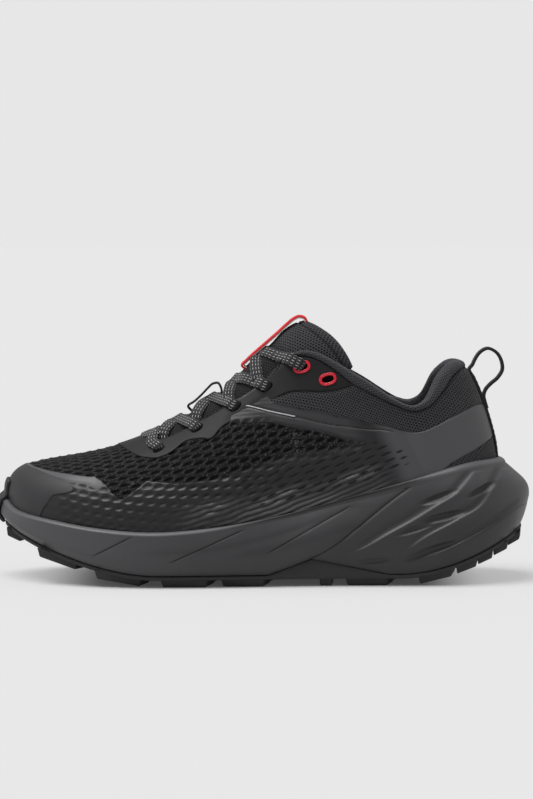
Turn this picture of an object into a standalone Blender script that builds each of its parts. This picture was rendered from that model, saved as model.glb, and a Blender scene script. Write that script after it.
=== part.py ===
"""A left trail running shoe, about EU 42, standing empty on its tread.

+X points to the heel, -Y to the outer side of the foot and +Z up. The origin lies on the floor,
under the middle of the shoe. Sizes are in millimetres and become metres when a mesh is made.
"""

import math

import bmesh
import bpy
import numpy as np
from mathutils import Matrix, Vector

MM = 0.001
MIDDLE = np.array([-0.15, -1.76, 0])  # of the shoe's box in plan, which becomes the origin

# Driving sizes
WALL = 2.4  # mesh, foam and lining of the upper
COLLAR_PAD = 6.5  # padded wall round the ankle
PAD_REACH, PAD_FADE = 5.2, 1.6  # ribs to either side of the heel that have the padding, and its fade
PAD_LEVEL, PAD_LEVEL_FADE = 0.45, 0.35  # level where the padding starts, and its fade
GAP = 0.35  # clearance between pieces that touch
SEAT = 0.55  # clearance between the upper and the forms round it, which have other rows and columns
OVERLAY = 0.9  # rubber and film pieces laid on the upper
OVERLAY_CLEAR, OVERLAY_RISE = 0.03, 0.02  # least level of an overlay over the rim, and what its top adds
INSOLE = 4.0
RIM = 3.0  # width of the midsole's top edge
TUCK = 4.0  # how far the midsole's foot pulls in under its flare
FLARE_LEVEL = 0.62  # where the sidewall is widest, from its rim (0) to its foot (1)
FLARE_POWER = 1.55  # how soon the sidewall bulges out under its rim
RIM_DROP = 0.4  # from the rim's inner to its outer edge
SHEET = 2.2  # outsole rubber between the lugs
LUG = 4.0
LUG_ROOT = 0.8  # how deep a lug is fused into its sheet
LUG_DRAW_IN = 0.86  # size of a lug's foot over its root
LUG_SLANT = 0.18  # slant of a lug's sides, over its length along the shoe
LUG_MARGIN = 1.2  # from the tread's edge to the lugs beside it
LUG_GROOVE = 5.0  # between the lugs of a row
LUG_ROOM = 24.0  # least room for a pair of lugs between the outer ones
BUMPER_REACH = 1  # columns of the sole to either side of the toe tip
BUMPER_RISE = 0.14  # how far up the upper's ribs it climbs over the midsole's rim
BUMPER_STAND_OFF = 2.4  # clear of the toe cap
BUMPER_THICK = 2.0
LACE_WIDTH = 6.0
LACE_THICK = 1.6
LACE_CLEAR = 0.9  # how far the lace floats over the eyestay
LACE_OVER_TONGUE = 1.2
RING_BAR = 0.9  # radius of an eyelet ring's bar
TAPE_WIDTH, TAPE_THICK = 8.0, 1.8  # heel loop and its tape
RIBBON_WIDTH, RIBBON_THICK = 12.0, 1.4  # loop on the tongue
KEEPER_WIDTH, KEEPER_THICK = 6.0, 1.2
UPPER_COLUMNS = 60
SOLE_COLUMNS = 72

# The upper's ribs, from toe to heel. Each rises from the footbed's edge (foot) to the edge of the
# throat or collar (top), on the outer (lat) and inner (med) side. It starts leaning out by lean
# degrees with a handle of rise, and arrives at pitch degrees over level with a handle of reach.
RIB_COLUMNS = "foot_x foot_lat foot_med top_x top_lat top_med top_z lean rise pitch reach".split()
RIBS = {
    "toe tip": (-142, 7, 7, -66, 1, 1, 79.5, 8, 34.2, 23, 50),
    "toe shoulder": (-134, -16, 28, -65.3, -6, 8, 79.4, 8, 33.6, 24, 46),
    "toe joint": (-116, -34.5, 41, -62.5, -12, 14, 79.5, 8, 32.7, 28, 40),
    "ball front": (-88, -46.5, 48, -55, -16, 18, 81.5, 8, 32, 35, 34),
    "ball": (-57, -50, 47.5, -43, -18, 20, 87, 7, 33, 42, 30),
    "waist front": (-22, -47, 40.5, -20, -19, 20.5, 102.5, 5, 36, 51, 32),
    "waist": (14, -42.5, 35, 3, -20, 21, 118, 4, 38, 60, 34),
    "instep": (48, -39.5, 34.5, 26, -23.5, 24, 125.5, 3, 34, 70, 32),
    "ankle": (78, -38.5, 36, 54, -29.5, 29.5, 113, 3, 30, 82, 26),
    "heel side": (102, -36.5, 35.5, 82, -32.5, 32.5, 99.3, 3, 24, 84, 20),
    "heel quarter": (119, -29.5, 29.5, 97, -26.5, 26.5, 112, 3, 26, 76, 22),
    "heel corner": (129.5, -16.5, 16.5, 108, -15.5, 15.5, 120.3, 3, 29, 64, 22),
    "heel back": (133, 0, 0, 112.5, 0, 0, 121, 3, 30, 58, 22),
}

# The midsole at the same ribs: the widest line of its sidewall and the height of its rim.
SOLE_RIB_COLUMNS = "edge_x edge_lat edge_med rim_z".split()
SOLE_RIBS = {
    "toe tip": (-147.5, 8, 8, 45.5),
    "toe shoulder": (-139, -18.5, 30, 39.4),
    "toe joint": (-119, -38.5, 44.5, 35.9),
    "ball front": (-89, -52, 53, 31.9),
    "ball": (-57, -56.5, 53, 30.1),
    "waist front": (-22, -54, 47, 32.9),
    "waist": (14, -49.5, 41, 39.4),
    "instep": (48, -47, 39.5, 48),
    "ankle": (80, -46.5, 41.5, 55.5),
    "heel side": (106, -45.5, 42.5, 62),
    "heel quarter": (128, -37, 36.5, 66.5),
    "heel corner": (143.5, -22, 22, 67.5),
    "heel back": (149.5, 0, 0, 67.5),
}

# Heights of the footbed along the shoe
FOOTBED = {
    -150: 44, -142: 40.3, -130: 34.2, -115: 29.8, -100: 26.8, -80: 24.6, -60: 24,
    -30: 25.5, 0: 28.5, 30: 31.5, 60: 34, 90: 36, 120: 37.5, 150: 39,
}

# The tread's profile: flat between these two, then curling up to the toe and to the heel
TREAD_FRONT, TREAD_BACK = -58, 78
TOE_SPRING, TOE_RUN, TOE_POWER = 20.7, 76, 1.7
HEEL_LIFT, HEEL_RUN, HEEL_POWER = 22.5, 64.5, 1.7

# Where the rubber climbs the sidewall under the arch, as a triangle
FLAP_START, FLAP_PEAK, FLAP_END, FLAP_HEIGHT = 4, 28, 70, 8.5

# Ledges of the sidewall, each a line of (x, z) points: the wall below it stands proud
LEDGES = {
    "front band": ((-70, 15.5), (-20, 19), (4, 24), (52, 40)),
    "front foot": ((-20, 14), (8, 18.5), (52, 29)),
    "heel upper": ((43, 16.5), (70, 29.3), (97, 45), (108, 52), (117, 62)),
    "heel lower": ((72, 14.3), (90, 27.4), (108, 37), (122, 45.7), (133, 62)),
    "heel foot": ((84, 15), (107, 23), (123, 31), (142, 42)),
}
LEDGE_STEP = 2.0
LEDGE_FADE = 9.0  # how far below its line a ledge dies away
LEDGE_HALF = 1.5  # half the height of the ledge itself
LEDGE_START, LEDGE_OVER, LEDGE_END = 14, 8, 10  # how it fades in, runs past its line's end and fades out

# Lugs: one row across the tread for each (start, end, length of the side lugs)
LUG_ROWS = (
    (-142, -134, 12), (-123, -101, 19), (-91, -65, 20), (-55, -29, 20), (-22, 2, 19),
    (32, 39, 14), (46, 70, 17), (86, 104, 18), (108, 117, 17), (120, 126, 15),
    (129, 135, 12), (138, 143, 9),
)

# Eyelets up one side: place round the ribs, from the toe tip (0) to the heel back (12), and level.
# The lace runs through all but the last; the last two have a ring.
EYELETS = ((3.59, 0.805), (4.48, 0.86), (5.26, 0.868), (5.93, 0.888), (6.78, 0.93), (7.29, 0.875))
RINGED = EYELETS[-2:]
EYELET_HALF_LENGTH, EYELET_HALF_WIDTH = 3.4, 2.0
EYELET_REACH = 4.5  # of its cutter, to either side of the upper's face

# The tongue from its root to its top: the middle of its outer face, then its edges
TONGUE_COLUMNS = "mid_x mid_z edge_x edge_z half_width".split()
TONGUE = {
    "root": (-76, 68.5, -70, 58, 19),
    "throat end": (-62, 76, -54, 63, 24),
    "first crossing": (-45, 85, -36, 68, 26),
    "second crossing": (-30, 95, -20, 75, 27),
    "third crossing": (-15, 106, -4, 83, 27.5),
    "fourth crossing": (-3, 117, 11, 91, 27),
    "bend": (5, 127, 26, 99, 24),
    "shoulder": (12.5, 135, 38, 107, 21.5),
    "under the edge": (20, 141, 46, 113, 21),
    "top edge": (26, 144.5, 51, 119, 20.5),
}
TONGUE_THICK = 4.5

STAY_TOP = 0.99  # level of the eyestay's upper edge

# Paths of the strips that stand up on the middle line, as (x, z) points
HEEL_LOOP = ((118.5, 117), (119.5, 121), (122.5, 126.3), (126.4, 128.4), (131.5, 126.3), (134.7, 120.7),
             (135.3, 115.7), (132.7, 110.6), (129.6, 106.7), (128, 103.3))
HEEL_TAPE_LEVELS = (0.36, 0.95)
TONGUE_LOOP = ((-9, 119), (1.2, 129.6), (7.6, 136.9), (13.3, 141.6), (17.4, 144.8), (20.7, 146.5),
               (23.6, 146.5), (25.6, 145.4))
LACE_KEEPER = ((-34.2, 92.7), (-36, 97), (-33.5, 102.2), (-29, 107), (-24.5, 109.5), (-21.6, 108.8),
               (-20, 107), (-17.7, 104.6))

COLOURS = {
    "mesh": ((0.012, 0.012, 0.013), 0.85),
    "film": ((0.028, 0.028, 0.029), 0.5),
    "foam": ((0.045, 0.045, 0.046), 0.6),
    "rubber": ((0.03, 0.03, 0.031), 0.7),
    "webbing": ((0.012, 0.012, 0.013), 0.8),
    "red": ((0.6, 0.015, 0.03), 0.45),
    "lace": ((0.03, 0.03, 0.032), 0.8),
}


def clear_scene():
    for obj in list(bpy.data.objects):
        bpy.data.objects.remove(obj)


def collection(name):
    made = bpy.data.collections.new(name)
    bpy.context.scene.collection.children.link(made)
    return made


def material(name):
    colour, roughness = COLOURS[name]
    made = bpy.data.materials.get(name) or bpy.data.materials.new(name)
    made.use_nodes = True
    shader = made.node_tree.nodes["Principled BSDF"]
    shader.inputs["Base Color"].default_value = (*colour, 1)
    shader.inputs["Roughness"].default_value = roughness
    shader.inputs["Metallic"].default_value = 0
    return made


def smooth_through(xs, ys, x):
    """A smooth curve through the points (xs, ys), read at x, with no overshoot at its ends."""
    xs, ys = np.asarray(xs, float), np.asarray(ys, float)
    slopes = np.gradient(ys, xs)
    x = np.clip(np.asarray(x, float), xs[0], xs[-1])
    k = np.clip(np.searchsorted(xs, x) - 1, 0, len(xs) - 2)
    step = xs[k + 1] - xs[k]
    t = (x - xs[k]) / step
    return (
        ys[k] * (1 + 2 * t) * (1 - t) ** 2
        + ys[k + 1] * t * t * (3 - 2 * t)
        + step * t * (1 - t) * (slopes[k] * (1 - t) - slopes[k + 1] * t)
    )


def ease(t):
    t = np.clip(t, 0, 1)
    return t * t * (3 - 2 * t)


def round_the_shoe(table, names):
    """The table's rows as a closed loop: toe tip, outer side, heel back, inner side."""
    rows = [dict(zip(names, row)) for row in table.values()]
    sides = ["lat"] * len(rows) + ["med"] * (len(rows) - 2)
    loop = []
    for row, side in zip(rows + rows[-2:0:-1], sides):
        loop.append([v for k, v in row.items() if not k.endswith(("_lat", "_med"))]
                    + [row[k] for k in row if k.endswith("_" + side)])
    plain = [k for k in names if not k.endswith(("_lat", "_med"))]
    return plain + [k[:-3] + "y" for k in names if k.endswith("_lat")], np.array(loop, float)


RIB_NAMES, RIB_LOOP = round_the_shoe(RIBS, RIB_COLUMNS)
SOLE_NAMES, SOLE_LOOP = round_the_shoe(SOLE_RIBS, SOLE_RIB_COLUMNS)
ROUND = len(RIB_LOOP)
HEEL = ROUND // 2


def at_rib(loop, names, u):
    """Every column of a loop at place u, as a smooth curve through its ribs."""
    u = np.asarray(u, float) % ROUND
    k = np.floor(u).astype(int)
    t = (u - k)[..., None]
    a, b, c, d = (loop[(k + step) % ROUND] for step in (-1, 0, 1, 2))
    blended = 0.5 * (2 * b + (c - a) * t + (2 * a - 5 * b + 4 * c - d) * t**2
                     + (3 * b - a - 3 * c + d) * t**3)
    return {name: blended[..., i] for i, name in enumerate(names)}


def footbed(x):
    return smooth_through(list(FOOTBED), list(FOOTBED.values()), x)


def tread(x):
    """Height of the lugs' feet over the floor."""
    toe = np.clip((TREAD_FRONT - np.asarray(x, float)) / TOE_RUN, 0, None)
    heel = np.clip((np.asarray(x, float) - TREAD_BACK) / HEEL_RUN, 0, None)
    return TOE_SPRING * toe**TOE_POWER + HEEL_LIFT * heel**HEEL_POWER


def flap(x):
    rising = (x - FLAP_START) / (FLAP_PEAK - FLAP_START)
    falling = (FLAP_END - x) / (FLAP_END - FLAP_PEAK)
    return FLAP_HEIGHT * np.clip(np.minimum(rising, falling), 0, 1)


def outward(u):
    """Level direction that points out of the footbed's edge at place u."""
    small = 0.05
    ahead, behind = at_rib(RIB_LOOP, RIB_NAMES, u + small), at_rib(RIB_LOOP, RIB_NAMES, u - small)
    along = np.stack([ahead["foot_x"] - behind["foot_x"], ahead["foot_y"] - behind["foot_y"]], -1)
    along /= np.linalg.norm(along, axis=-1, keepdims=True)
    return np.stack([along[..., 1], -along[..., 0], 0 * along[..., 0]], -1)


def upper_point(u, v):
    """The upper's outer face: u runs round the shoe, v from the footbed (0) to the top edge (1)."""
    u, v = np.broadcast_arrays(np.asarray(u, float), np.asarray(v, float))
    rib = at_rib(RIB_LOOP, RIB_NAMES, u)
    foot = np.stack([rib["foot_x"], rib["foot_y"], footbed(rib["foot_x"]) + GAP], -1)
    top = np.stack([rib["top_x"], rib["top_y"], rib["top_z"]], -1)
    lean, pitch = np.radians(rib["lean"])[..., None], np.radians(rib["pitch"])[..., None]
    up = np.array([0.0, 0.0, 1.0])
    inward = (top - foot) * np.array([1.0, 1.0, 0.0])
    inward /= np.linalg.norm(inward, axis=-1, keepdims=True)
    start = foot + rib["rise"][..., None] * (np.sin(lean) * outward(u) + np.cos(lean) * up)
    arrive = top - rib["reach"][..., None] * (np.cos(pitch) * inward + np.sin(pitch) * up)
    t = v[..., None]
    return (foot * (1 - t) ** 3 + 3 * start * t * (1 - t) ** 2 + 3 * arrive * t * t * (1 - t) + top * t**3)


def upper_normal(u, v):
    small = 0.01
    along = upper_point(u + small, v) - upper_point(u - small, v)
    rising = upper_point(u, v + small) - upper_point(u, v - small)
    normal = np.cross(along, rising)
    return normal / np.linalg.norm(normal, axis=-1, keepdims=True)


def off_upper(u, v, distance):
    return upper_point(u, v) + distance * upper_normal(u, v)


def level_at_height(u, z):
    """The level v where the upper's rib at u reaches height z."""
    levels = np.linspace(0, 0.6, 61)
    heights = upper_point(np.asarray(u)[:, None], levels[None, :])[..., 2]
    return np.array([np.interp(goal, row, levels) for goal, row in zip(z, heights)])


def rim_level(u):
    """The level v where the upper comes out of the midsole's rim."""
    return level_at_height(u, at_rib(SOLE_LOOP, SOLE_NAMES, u)["rim_z"])


def columns(count):
    return np.arange(count) * ROUND / count


def add_mesh(name, points, faces, parts, finish, hidden=False):
    mesh = bpy.data.meshes.new(name)
    mesh.from_pydata([tuple(p) for p in (np.asarray(points) - MIDDLE) * MM], [], faces)
    mesh.validate()
    build = bmesh.new()
    build.from_mesh(mesh)
    bmesh.ops.remove_doubles(build, verts=build.verts, dist=1e-6)
    build.to_mesh(mesh)
    build.free()
    mesh.shade_smooth()
    mesh.set_sharp_from_angle(angle=math.radians(40))
    obj = bpy.data.objects.new(name, mesh)
    obj.data.materials.append(material(finish))
    parts.objects.link(obj)
    if hidden:
        obj.hide_render = True
        obj.display_type = "WIRE"
    return obj


def ring_faces(rings, size, closed=True):
    """Quads between rings of the same size, ring after ring."""
    faces = []
    for r in range(rings - 1):
        for i in range(size if closed else size - 1):
            j = (i + 1) % size
            faces.append((r * size + i, r * size + j, (r + 1) * size + j, (r + 1) * size + i))
    return faces


def cap(points, start, ring, across, height, turned):
    """Faces that close a loop of the shoe, from its outer side across to its inner side."""
    half = len(ring) // 2
    rows = [[start] * (across + 1)]
    for i in range(1, half):
        row = [start + i]
        for k in range(1, across):
            share = k / across
            spot = ring[i] * (1 - share) + ring[-i] * share
            points.append((spot[0], spot[1], height(spot[0])))
            row.append(len(points) - 1)
        rows.append(row + [start + len(ring) - i])
    rows.append([start + half] * (across + 1))
    faces = []
    for low, high in zip(rows, rows[1:]):
        for k in range(across):
            halves = ((low[k], high[k], high[k + 1]), (low[k], high[k + 1], low[k + 1]))
            faces += [half if turned else half[::-1] for half in halves if len(set(half)) == 3]
    return faces


def solid_of_rings(name, rings, across, first_height, last_height, parts, finish):
    """A closed solid: rings joined one to the next, the first and the last closed by caps."""
    points = [tuple(p) for ring in rings for p in ring]
    size = len(rings[0])
    faces = ring_faces(len(rings), size)
    faces += cap(points, 0, rings[0], across, first_height, True)
    faces += cap(points, (len(rings) - 1) * size, rings[-1], across, last_height, False)
    obj = add_mesh(name, points, faces, parts, finish)
    face_outwards(obj)
    return obj


def face_outwards(obj):
    build = bmesh.new()
    build.from_mesh(obj.data)
    bmesh.ops.recalc_face_normals(build, faces=build.faces)
    build.to_mesh(obj.data)
    build.free()


def thicken(obj, thickness, outwards):
    shell = obj.modifiers.new("Wall", "SOLIDIFY")
    shell.thickness = thickness * MM
    shell.offset = 1 if outwards else -1
    return shell


def cut_or_join(obj, others, operation):
    for other in others:
        change = obj.modifiers.new(other.name, "BOOLEAN")
        change.operation = operation
        change.object = other


def collar_share(u, v):
    """How much of the ankle's padding the wall has, from none (0) to all of it (1)."""
    from_heel = np.abs(u - HEEL)
    return ease((PAD_REACH - from_heel) / PAD_FADE) * ease((v - PAD_LEVEL) / PAD_LEVEL_FADE)


def make_upper(parts, cutters):
    u = columns(UPPER_COLUMNS)
    levels = np.linspace(0, 1, 11)
    grid = upper_point(u[None, :], levels[:, None])
    obj = add_mesh("upper", grid.reshape(-1, 3), ring_faces(len(levels), len(u)), parts, "mesh")
    padding = obj.vertex_groups.new(name="padding")
    shares = collar_share(u[None, :], levels[:, None]).ravel()
    for i, share in enumerate(shares):
        padding.add([i], float(share), "REPLACE")
    wall = thicken(obj, COLLAR_PAD, False)
    wall.vertex_group = "padding"
    wall.thickness_vertex_group = WALL / COLLAR_PAD
    cut_or_join(obj, cutters, "DIFFERENCE")
    return obj


def make_overlay(name, start, end, low, high, rows, parts, finish, cutters=()):
    """A piece laid on the upper between the levels low(u) and high(u), on the upper's own columns."""
    step = ROUND / UPPER_COLUMNS
    u = np.arange(math.ceil(start / step), math.floor(end / step) + 1) * step
    share = np.linspace(0, 1, rows)[:, None]
    v = low(u)[None, :] * (1 - share) + high(u)[None, :] * share
    v = np.maximum(v, rim_level(u) + OVERLAY_CLEAR + OVERLAY_RISE * share)
    grid = off_upper(u[None, :] + 0 * v, v, SEAT)
    obj = add_mesh(name, grid.reshape(-1, 3), ring_faces(rows, len(u), False), parts, finish)
    thicken(obj, OVERLAY, True)
    cut_or_join(obj, cutters, "DIFFERENCE")
    return obj


def mirrored(table):
    """Levels given from the toe tip or the heel back, the same on both sides."""
    return lambda u, middle: smooth_through(list(table), list(table.values()), np.abs(u - middle))


def inner_side(eyelet):
    place, level = eyelet
    return ROUND - place, level


def eyelet_frame(eyelet):
    """Middle of an eyelet, with its long, short and outward directions."""
    place, level = eyelet
    spot, out = upper_point(place, level), upper_normal(place, level)
    along = upper_point(place + 0.05, level) - upper_point(place - 0.05, level)
    along -= out * (along @ out)
    along /= np.linalg.norm(along)
    return spot, along, np.cross(out, along), out


def make_eyelet_cutters(helpers):
    points, faces = [], []
    sides = 8
    for eyelet in [*EYELETS, *map(inner_side, EYELETS)]:
        spot, along, across, out = eyelet_frame(eyelet)
        k = len(points)
        for depth in (-EYELET_REACH, EYELET_REACH):
            for turn in np.arange(sides) * 2 * math.pi / sides:
                points.append(spot + depth * out + EYELET_HALF_LENGTH * math.cos(turn) * along
                              + EYELET_HALF_WIDTH * math.sin(turn) * across)
        for i in range(sides):
            j = (i + 1) % sides
            faces.append((k + i, k + j, k + sides + j, k + sides + i))
        faces += [tuple(range(k, k + sides)), tuple(range(k + sides, k + 2 * sides))]
    cutters = add_mesh("eyelet_cutters", points, faces, helpers, "red", hidden=True)
    face_outwards(cutters)
    return cutters


def make_eyelet_rings(parts):
    height = SEAT + OVERLAY + GAP + RING_BAR
    for side, eyelets in (("outer", RINGED), ("inner", map(inner_side, RINGED))):
        for number, eyelet in enumerate(eyelets, 1):
            spot, along, across, out = eyelet_frame(eyelet)
            bpy.ops.mesh.primitive_torus_add(major_segments=14, minor_segments=4, minor_radius=RING_BAR * MM,
                                             major_radius=(EYELET_HALF_WIDTH + RING_BAR) * MM)
            ring = bpy.context.object
            ring.name = ring.data.name = f"eyelet_{side}_{number}"
            stretch = EYELET_HALF_LENGTH - EYELET_HALF_WIDTH
            for vertex in ring.data.vertices:
                vertex.co.x += math.copysign(min(abs(vertex.co.x) / (2 * MM), 1) * stretch * MM, vertex.co.x)
            turn = Matrix((along, across, out)).transposed().to_4x4()
            ring.data.transform(Matrix.Translation(Vector((spot + height * out - MIDDLE) * MM)) @ turn)
            ring.data.shade_smooth()
            ring.data.materials.append(material("red"))
            move_to(ring, parts)


def move_to(obj, parts):
    for old in list(obj.users_collection):
        old.objects.unlink(obj)
    parts.objects.link(obj)


def tongue_row(t):
    """Columns of the tongue's table at t, from its root (0) to its top edge (1)."""
    rows = np.array(list(TONGUE.values()), float)
    return {name: smooth_through(np.linspace(0, 1, len(rows)), rows[:, i], t)
            for i, name in enumerate(TONGUE_COLUMNS)}


def tongue_ridge():
    """Points along the middle of the tongue's outer face, and the way that face looks."""
    row = tongue_row(np.linspace(0, 1, 80))
    ridge = np.stack([row["mid_x"], 0 * row["mid_x"], row["mid_z"]], -1)
    along = np.gradient(ridge, axis=0)
    along /= np.linalg.norm(along, axis=1, keepdims=True)
    return ridge, np.stack([-along[:, 2], 0 * along[:, 0], along[:, 0]], -1)


def make_tongue(parts):
    row = tongue_row(np.linspace(0, 1, 13)[:, None])
    turn = np.radians(np.linspace(90, -90, 11))[None, :]
    bend = 1 - np.cos(turn)
    x = row["mid_x"] + (row["edge_x"] - row["mid_x"]) * bend
    z = row["mid_z"] + (row["edge_z"] - row["mid_z"]) * bend
    y = row["half_width"] * np.sin(turn)
    grid = np.stack([x, y, z], -1)
    obj = add_mesh("tongue", grid.reshape(-1, 3), ring_faces(13, 11, False), parts, "mesh")
    thicken(obj, TONGUE_THICK, False)
    return obj


def strip_points(path, across, out, width, thick):
    """Corners of a flat strip's sections along a path, four to a section."""
    half_width, half_thick = across * width / 2, out * thick / 2
    return np.stack([path - half_width - half_thick, path + half_width - half_thick,
                     path + half_width + half_thick, path - half_width + half_thick], 1)


def add_strip(name, sections, parts, finish, hidden=False):
    last = 4 * (len(sections) - 1)
    faces = ring_faces(len(sections), 4) + [(0, 1, 2, 3), (last, last + 1, last + 2, last + 3)]
    obj = add_mesh(name, sections.reshape(-1, 3), faces, parts, finish, hidden)
    face_outwards(obj)
    return obj


def smooth_path(points, count):
    points = np.asarray(points, float)
    run = np.concatenate([[0], np.cumsum(np.linalg.norm(np.diff(points, axis=0), axis=1))])
    places = np.linspace(0, run[-1], count)
    return np.stack([smooth_through(run, points[:, i], places) for i in range(points.shape[1])], -1)


def make_standing_strip(name, path, count, width, thick, parts, finish):
    """A strip whose path lies on the middle line and whose width runs across the shoe."""
    flat = smooth_path(path, count)
    along = np.gradient(flat, axis=0)
    along /= np.linalg.norm(along, axis=1, keepdims=True)
    spine = np.stack([flat[:, 0], 0 * flat[:, 0], flat[:, 1]], -1)
    out = np.stack([-along[:, 1], 0 * along[:, 0], along[:, 0]], -1)
    across = np.tile([0.0, 1.0, 0.0], (count, 1))
    return add_strip(name, strip_points(spine, across, out, width, thick), parts, finish)


def make_loops(parts):
    levels = np.linspace(*HEEL_TAPE_LEVELS, 6)
    tape = off_upper(np.full(6, float(HEEL)), levels, SEAT + OVERLAY + SEAT + TAPE_THICK / 2)
    path = [(x, z) for x, _, z in tape] + list(HEEL_LOOP)
    make_standing_strip("heel_loop", path, 24, TAPE_WIDTH, TAPE_THICK, parts, "webbing")
    make_standing_strip("tongue_loop", TONGUE_LOOP, 14, RIBBON_WIDTH, RIBBON_THICK, parts, "red")
    make_standing_strip("lace_keeper", LACE_KEEPER, 14, KEEPER_WIDTH, KEEPER_THICK, parts, "webbing")


def lace_path(low, high):
    """A strand from an eyelet over the tongue to a higher one: its points and the way its face looks."""
    lift = SEAT + OVERLAY + LACE_CLEAR + LACE_THICK / 2
    ends, brims, looks = [], [], []
    for place, level in (low, high):
        ringed = level == RINGED[0][1]
        over = lift + 2 * RING_BAR * ringed
        ends.append(off_upper(place, level, over))
        brims.append(off_upper(place, 1.0, over))
        looks.append((upper_normal(place, level), upper_normal(place, 1.0)))
    ridge, away = tongue_ridge()
    nearest = np.argmin(np.linalg.norm(ridge - 0.7 * brims[0] - 0.3 * brims[1], axis=1))
    middle = ridge[nearest] + (LACE_THICK / 2 + LACE_OVER_TONGUE) * away[nearest]
    faces = [*looks[0], away[nearest], *looks[1][::-1]]
    return smooth_path([ends[0], brims[0], middle, brims[1], ends[1]], 9), smooth_path(faces, 9)


def make_laces(parts, helpers):
    laced = EYELETS[:-1]
    pairs = [(laced[0], inner_side(laced[0]))]
    for low, high in zip(laced, laced[1:]):
        pairs += [(low, inner_side(high)), (inner_side(low), high)]
    strands = []
    for number, (low, high) in enumerate(pairs):
        path, out = lace_path(low, high)
        along = np.gradient(path, axis=0)
        across = np.cross(out, along)
        across /= np.linalg.norm(across, axis=1, keepdims=True)
        out = np.cross(along, across)
        out /= np.linalg.norm(out, axis=1, keepdims=True)
        sections = strip_points(path, across, out, LACE_WIDTH, LACE_THICK)
        name, place = ("laces", parts) if number == 0 else (f"strand_{number}", helpers)
        strands.append(add_strip(name, sections, place, "lace", hidden=number > 0))
    cut_or_join(strands[0], strands[1:], "UNION")


def make_overlays(parts, cutters):
    cap_top = mirrored({0: 0.44, 1: 0.43, 2: 0.40, 2.7: 0.36})
    cap_foot = mirrored({0: 0.13, 1: 0.14, 1.6: 0.2, 2.7: 0.34})
    make_overlay("toe_cap", -2.5, 2.5, lambda u: cap_foot(u, 0), lambda u: cap_top(u, 0), 6,
                 parts, "rubber")
    stay_foot = mirrored({0: 0.895, 1: 0.895, 2.4: 0.835, 3.3: 0.735, 3.75: 0.71, 4.3: 0.76, 4.8: 0.72,
                          5.2: 0.77, 6: 0.78, 7: 0.79, 7.7: 0.84})
    make_overlay("eyestay", -7.7, 7.7, lambda u: stay_foot(u, 0), lambda u: STAY_TOP + 0 * u, 4,
                 parts, "film", cutters)
    band_foot = mirrored({0: 0.52, 2: 0.42, 3: 0.33, 4: 0.3})
    band_top = mirrored({0: 0.665, 2: 0.645, 3: 0.6, 4: 0.5})
    make_overlay("heel_band", HEEL - 3.7, HEEL + 3.7, lambda u: band_foot(u, HEEL),
                 lambda u: band_top(u, HEEL), 4, parts, "film")


def ledge_relief(x, z):
    """How far the sidewall stands proud or shy of its smooth form at (x, z)."""
    relief = np.zeros(np.broadcast(x, z).shape)
    for line in LEDGES.values():
        xs, zs = zip(*line)
        below = smooth_through(xs, zs, x) - z
        ends = ease((x - xs[0]) / LEDGE_START) * ease((xs[-1] + LEDGE_OVER - x) / LEDGE_END)
        step = ease((below + LEDGE_HALF) / (2 * LEDGE_HALF))
        relief += LEDGE_STEP * ends * step * np.exp(-np.clip(below, 0, None) / LEDGE_FADE)
    return relief


def midsole_foot(x):
    return tread(x) + LUG + SHEET + GAP


def sidewall(u, w):
    """The midsole's outer face: w runs from its rim (0) to its foot (1)."""
    sole = at_rib(SOLE_LOOP, SOLE_NAMES, u)
    out = outward(u)
    rim = off_upper(u, rim_level(u), SEAT) + RIM * out
    edge = np.stack([sole["edge_x"], sole["edge_y"], 0 * sole["edge_x"]], -1)
    bulge = 1 - (1 - min(w / FLARE_LEVEL, 1)) ** FLARE_POWER
    tuck = TUCK * max((w - FLARE_LEVEL) / (1 - FLARE_LEVEL), 0) ** 2
    spot = rim * (1 - bulge) + edge * bulge - tuck * out
    foot = midsole_foot(spot[:, 0]) + flap(spot[:, 0])
    spot[:, 2] = (rim[:, 2] - RIM_DROP) * (1 - w) + foot * w
    fade = math.sin(math.pi * w)
    return spot + fade * ledge_relief(spot[:, 0], spot[:, 2])[:, None] * out


def make_midsole(parts):
    u = columns(SOLE_COLUMNS)
    bed = upper_point(u, 0 * u) + SEAT * outward(u)
    bed[:, 2] = footbed(bed[:, 0])
    inner = [off_upper(u, rim_level(u) * share, SEAT) for share in (0.5, 1)]
    wall = [sidewall(u, w) for w in np.linspace(0, 1, 9)]
    return solid_of_rings("midsole", [bed, *inner, *wall], 4, footbed, midsole_foot, parts, "foam")


def make_bumper(parts):
    """The outsole's rubber that climbs the toe: up the midsole's front and over the toe cap's foot."""
    step = ROUND / SOLE_COLUMNS
    u = np.arange(-BUMPER_REACH, BUMPER_REACH + 1) * step
    rise = [off_upper(u, rim_level(u) + share * BUMPER_RISE, BUMPER_STAND_OFF) for share in (1, 0.6, 0.2)]
    front = [sidewall(u, w) + SEAT * outward(u) for w in (0.12, 0.4, 0.7, 0.92)]
    grid = np.stack([*rise, *front])
    obj = add_mesh("toe_bumper", grid.reshape(-1, 3), ring_faces(len(grid), len(u), False), parts, "rubber")
    thicken(obj, BUMPER_THICK, False)
    return obj


def make_insole(parts):
    u = columns(UPPER_COLUMNS)
    edge = upper_point(u, 0 * u) - (WALL + 2 * GAP) * outward(u)
    under, over = edge.copy(), edge.copy()
    under[:, 2] = footbed(edge[:, 0]) + GAP
    over[:, 2] = footbed(edge[:, 0]) + INSOLE
    return solid_of_rings("insole", [over, under], 4, lambda x: footbed(x) + INSOLE,
                          lambda x: footbed(x) + GAP, parts, "webbing")


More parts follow.
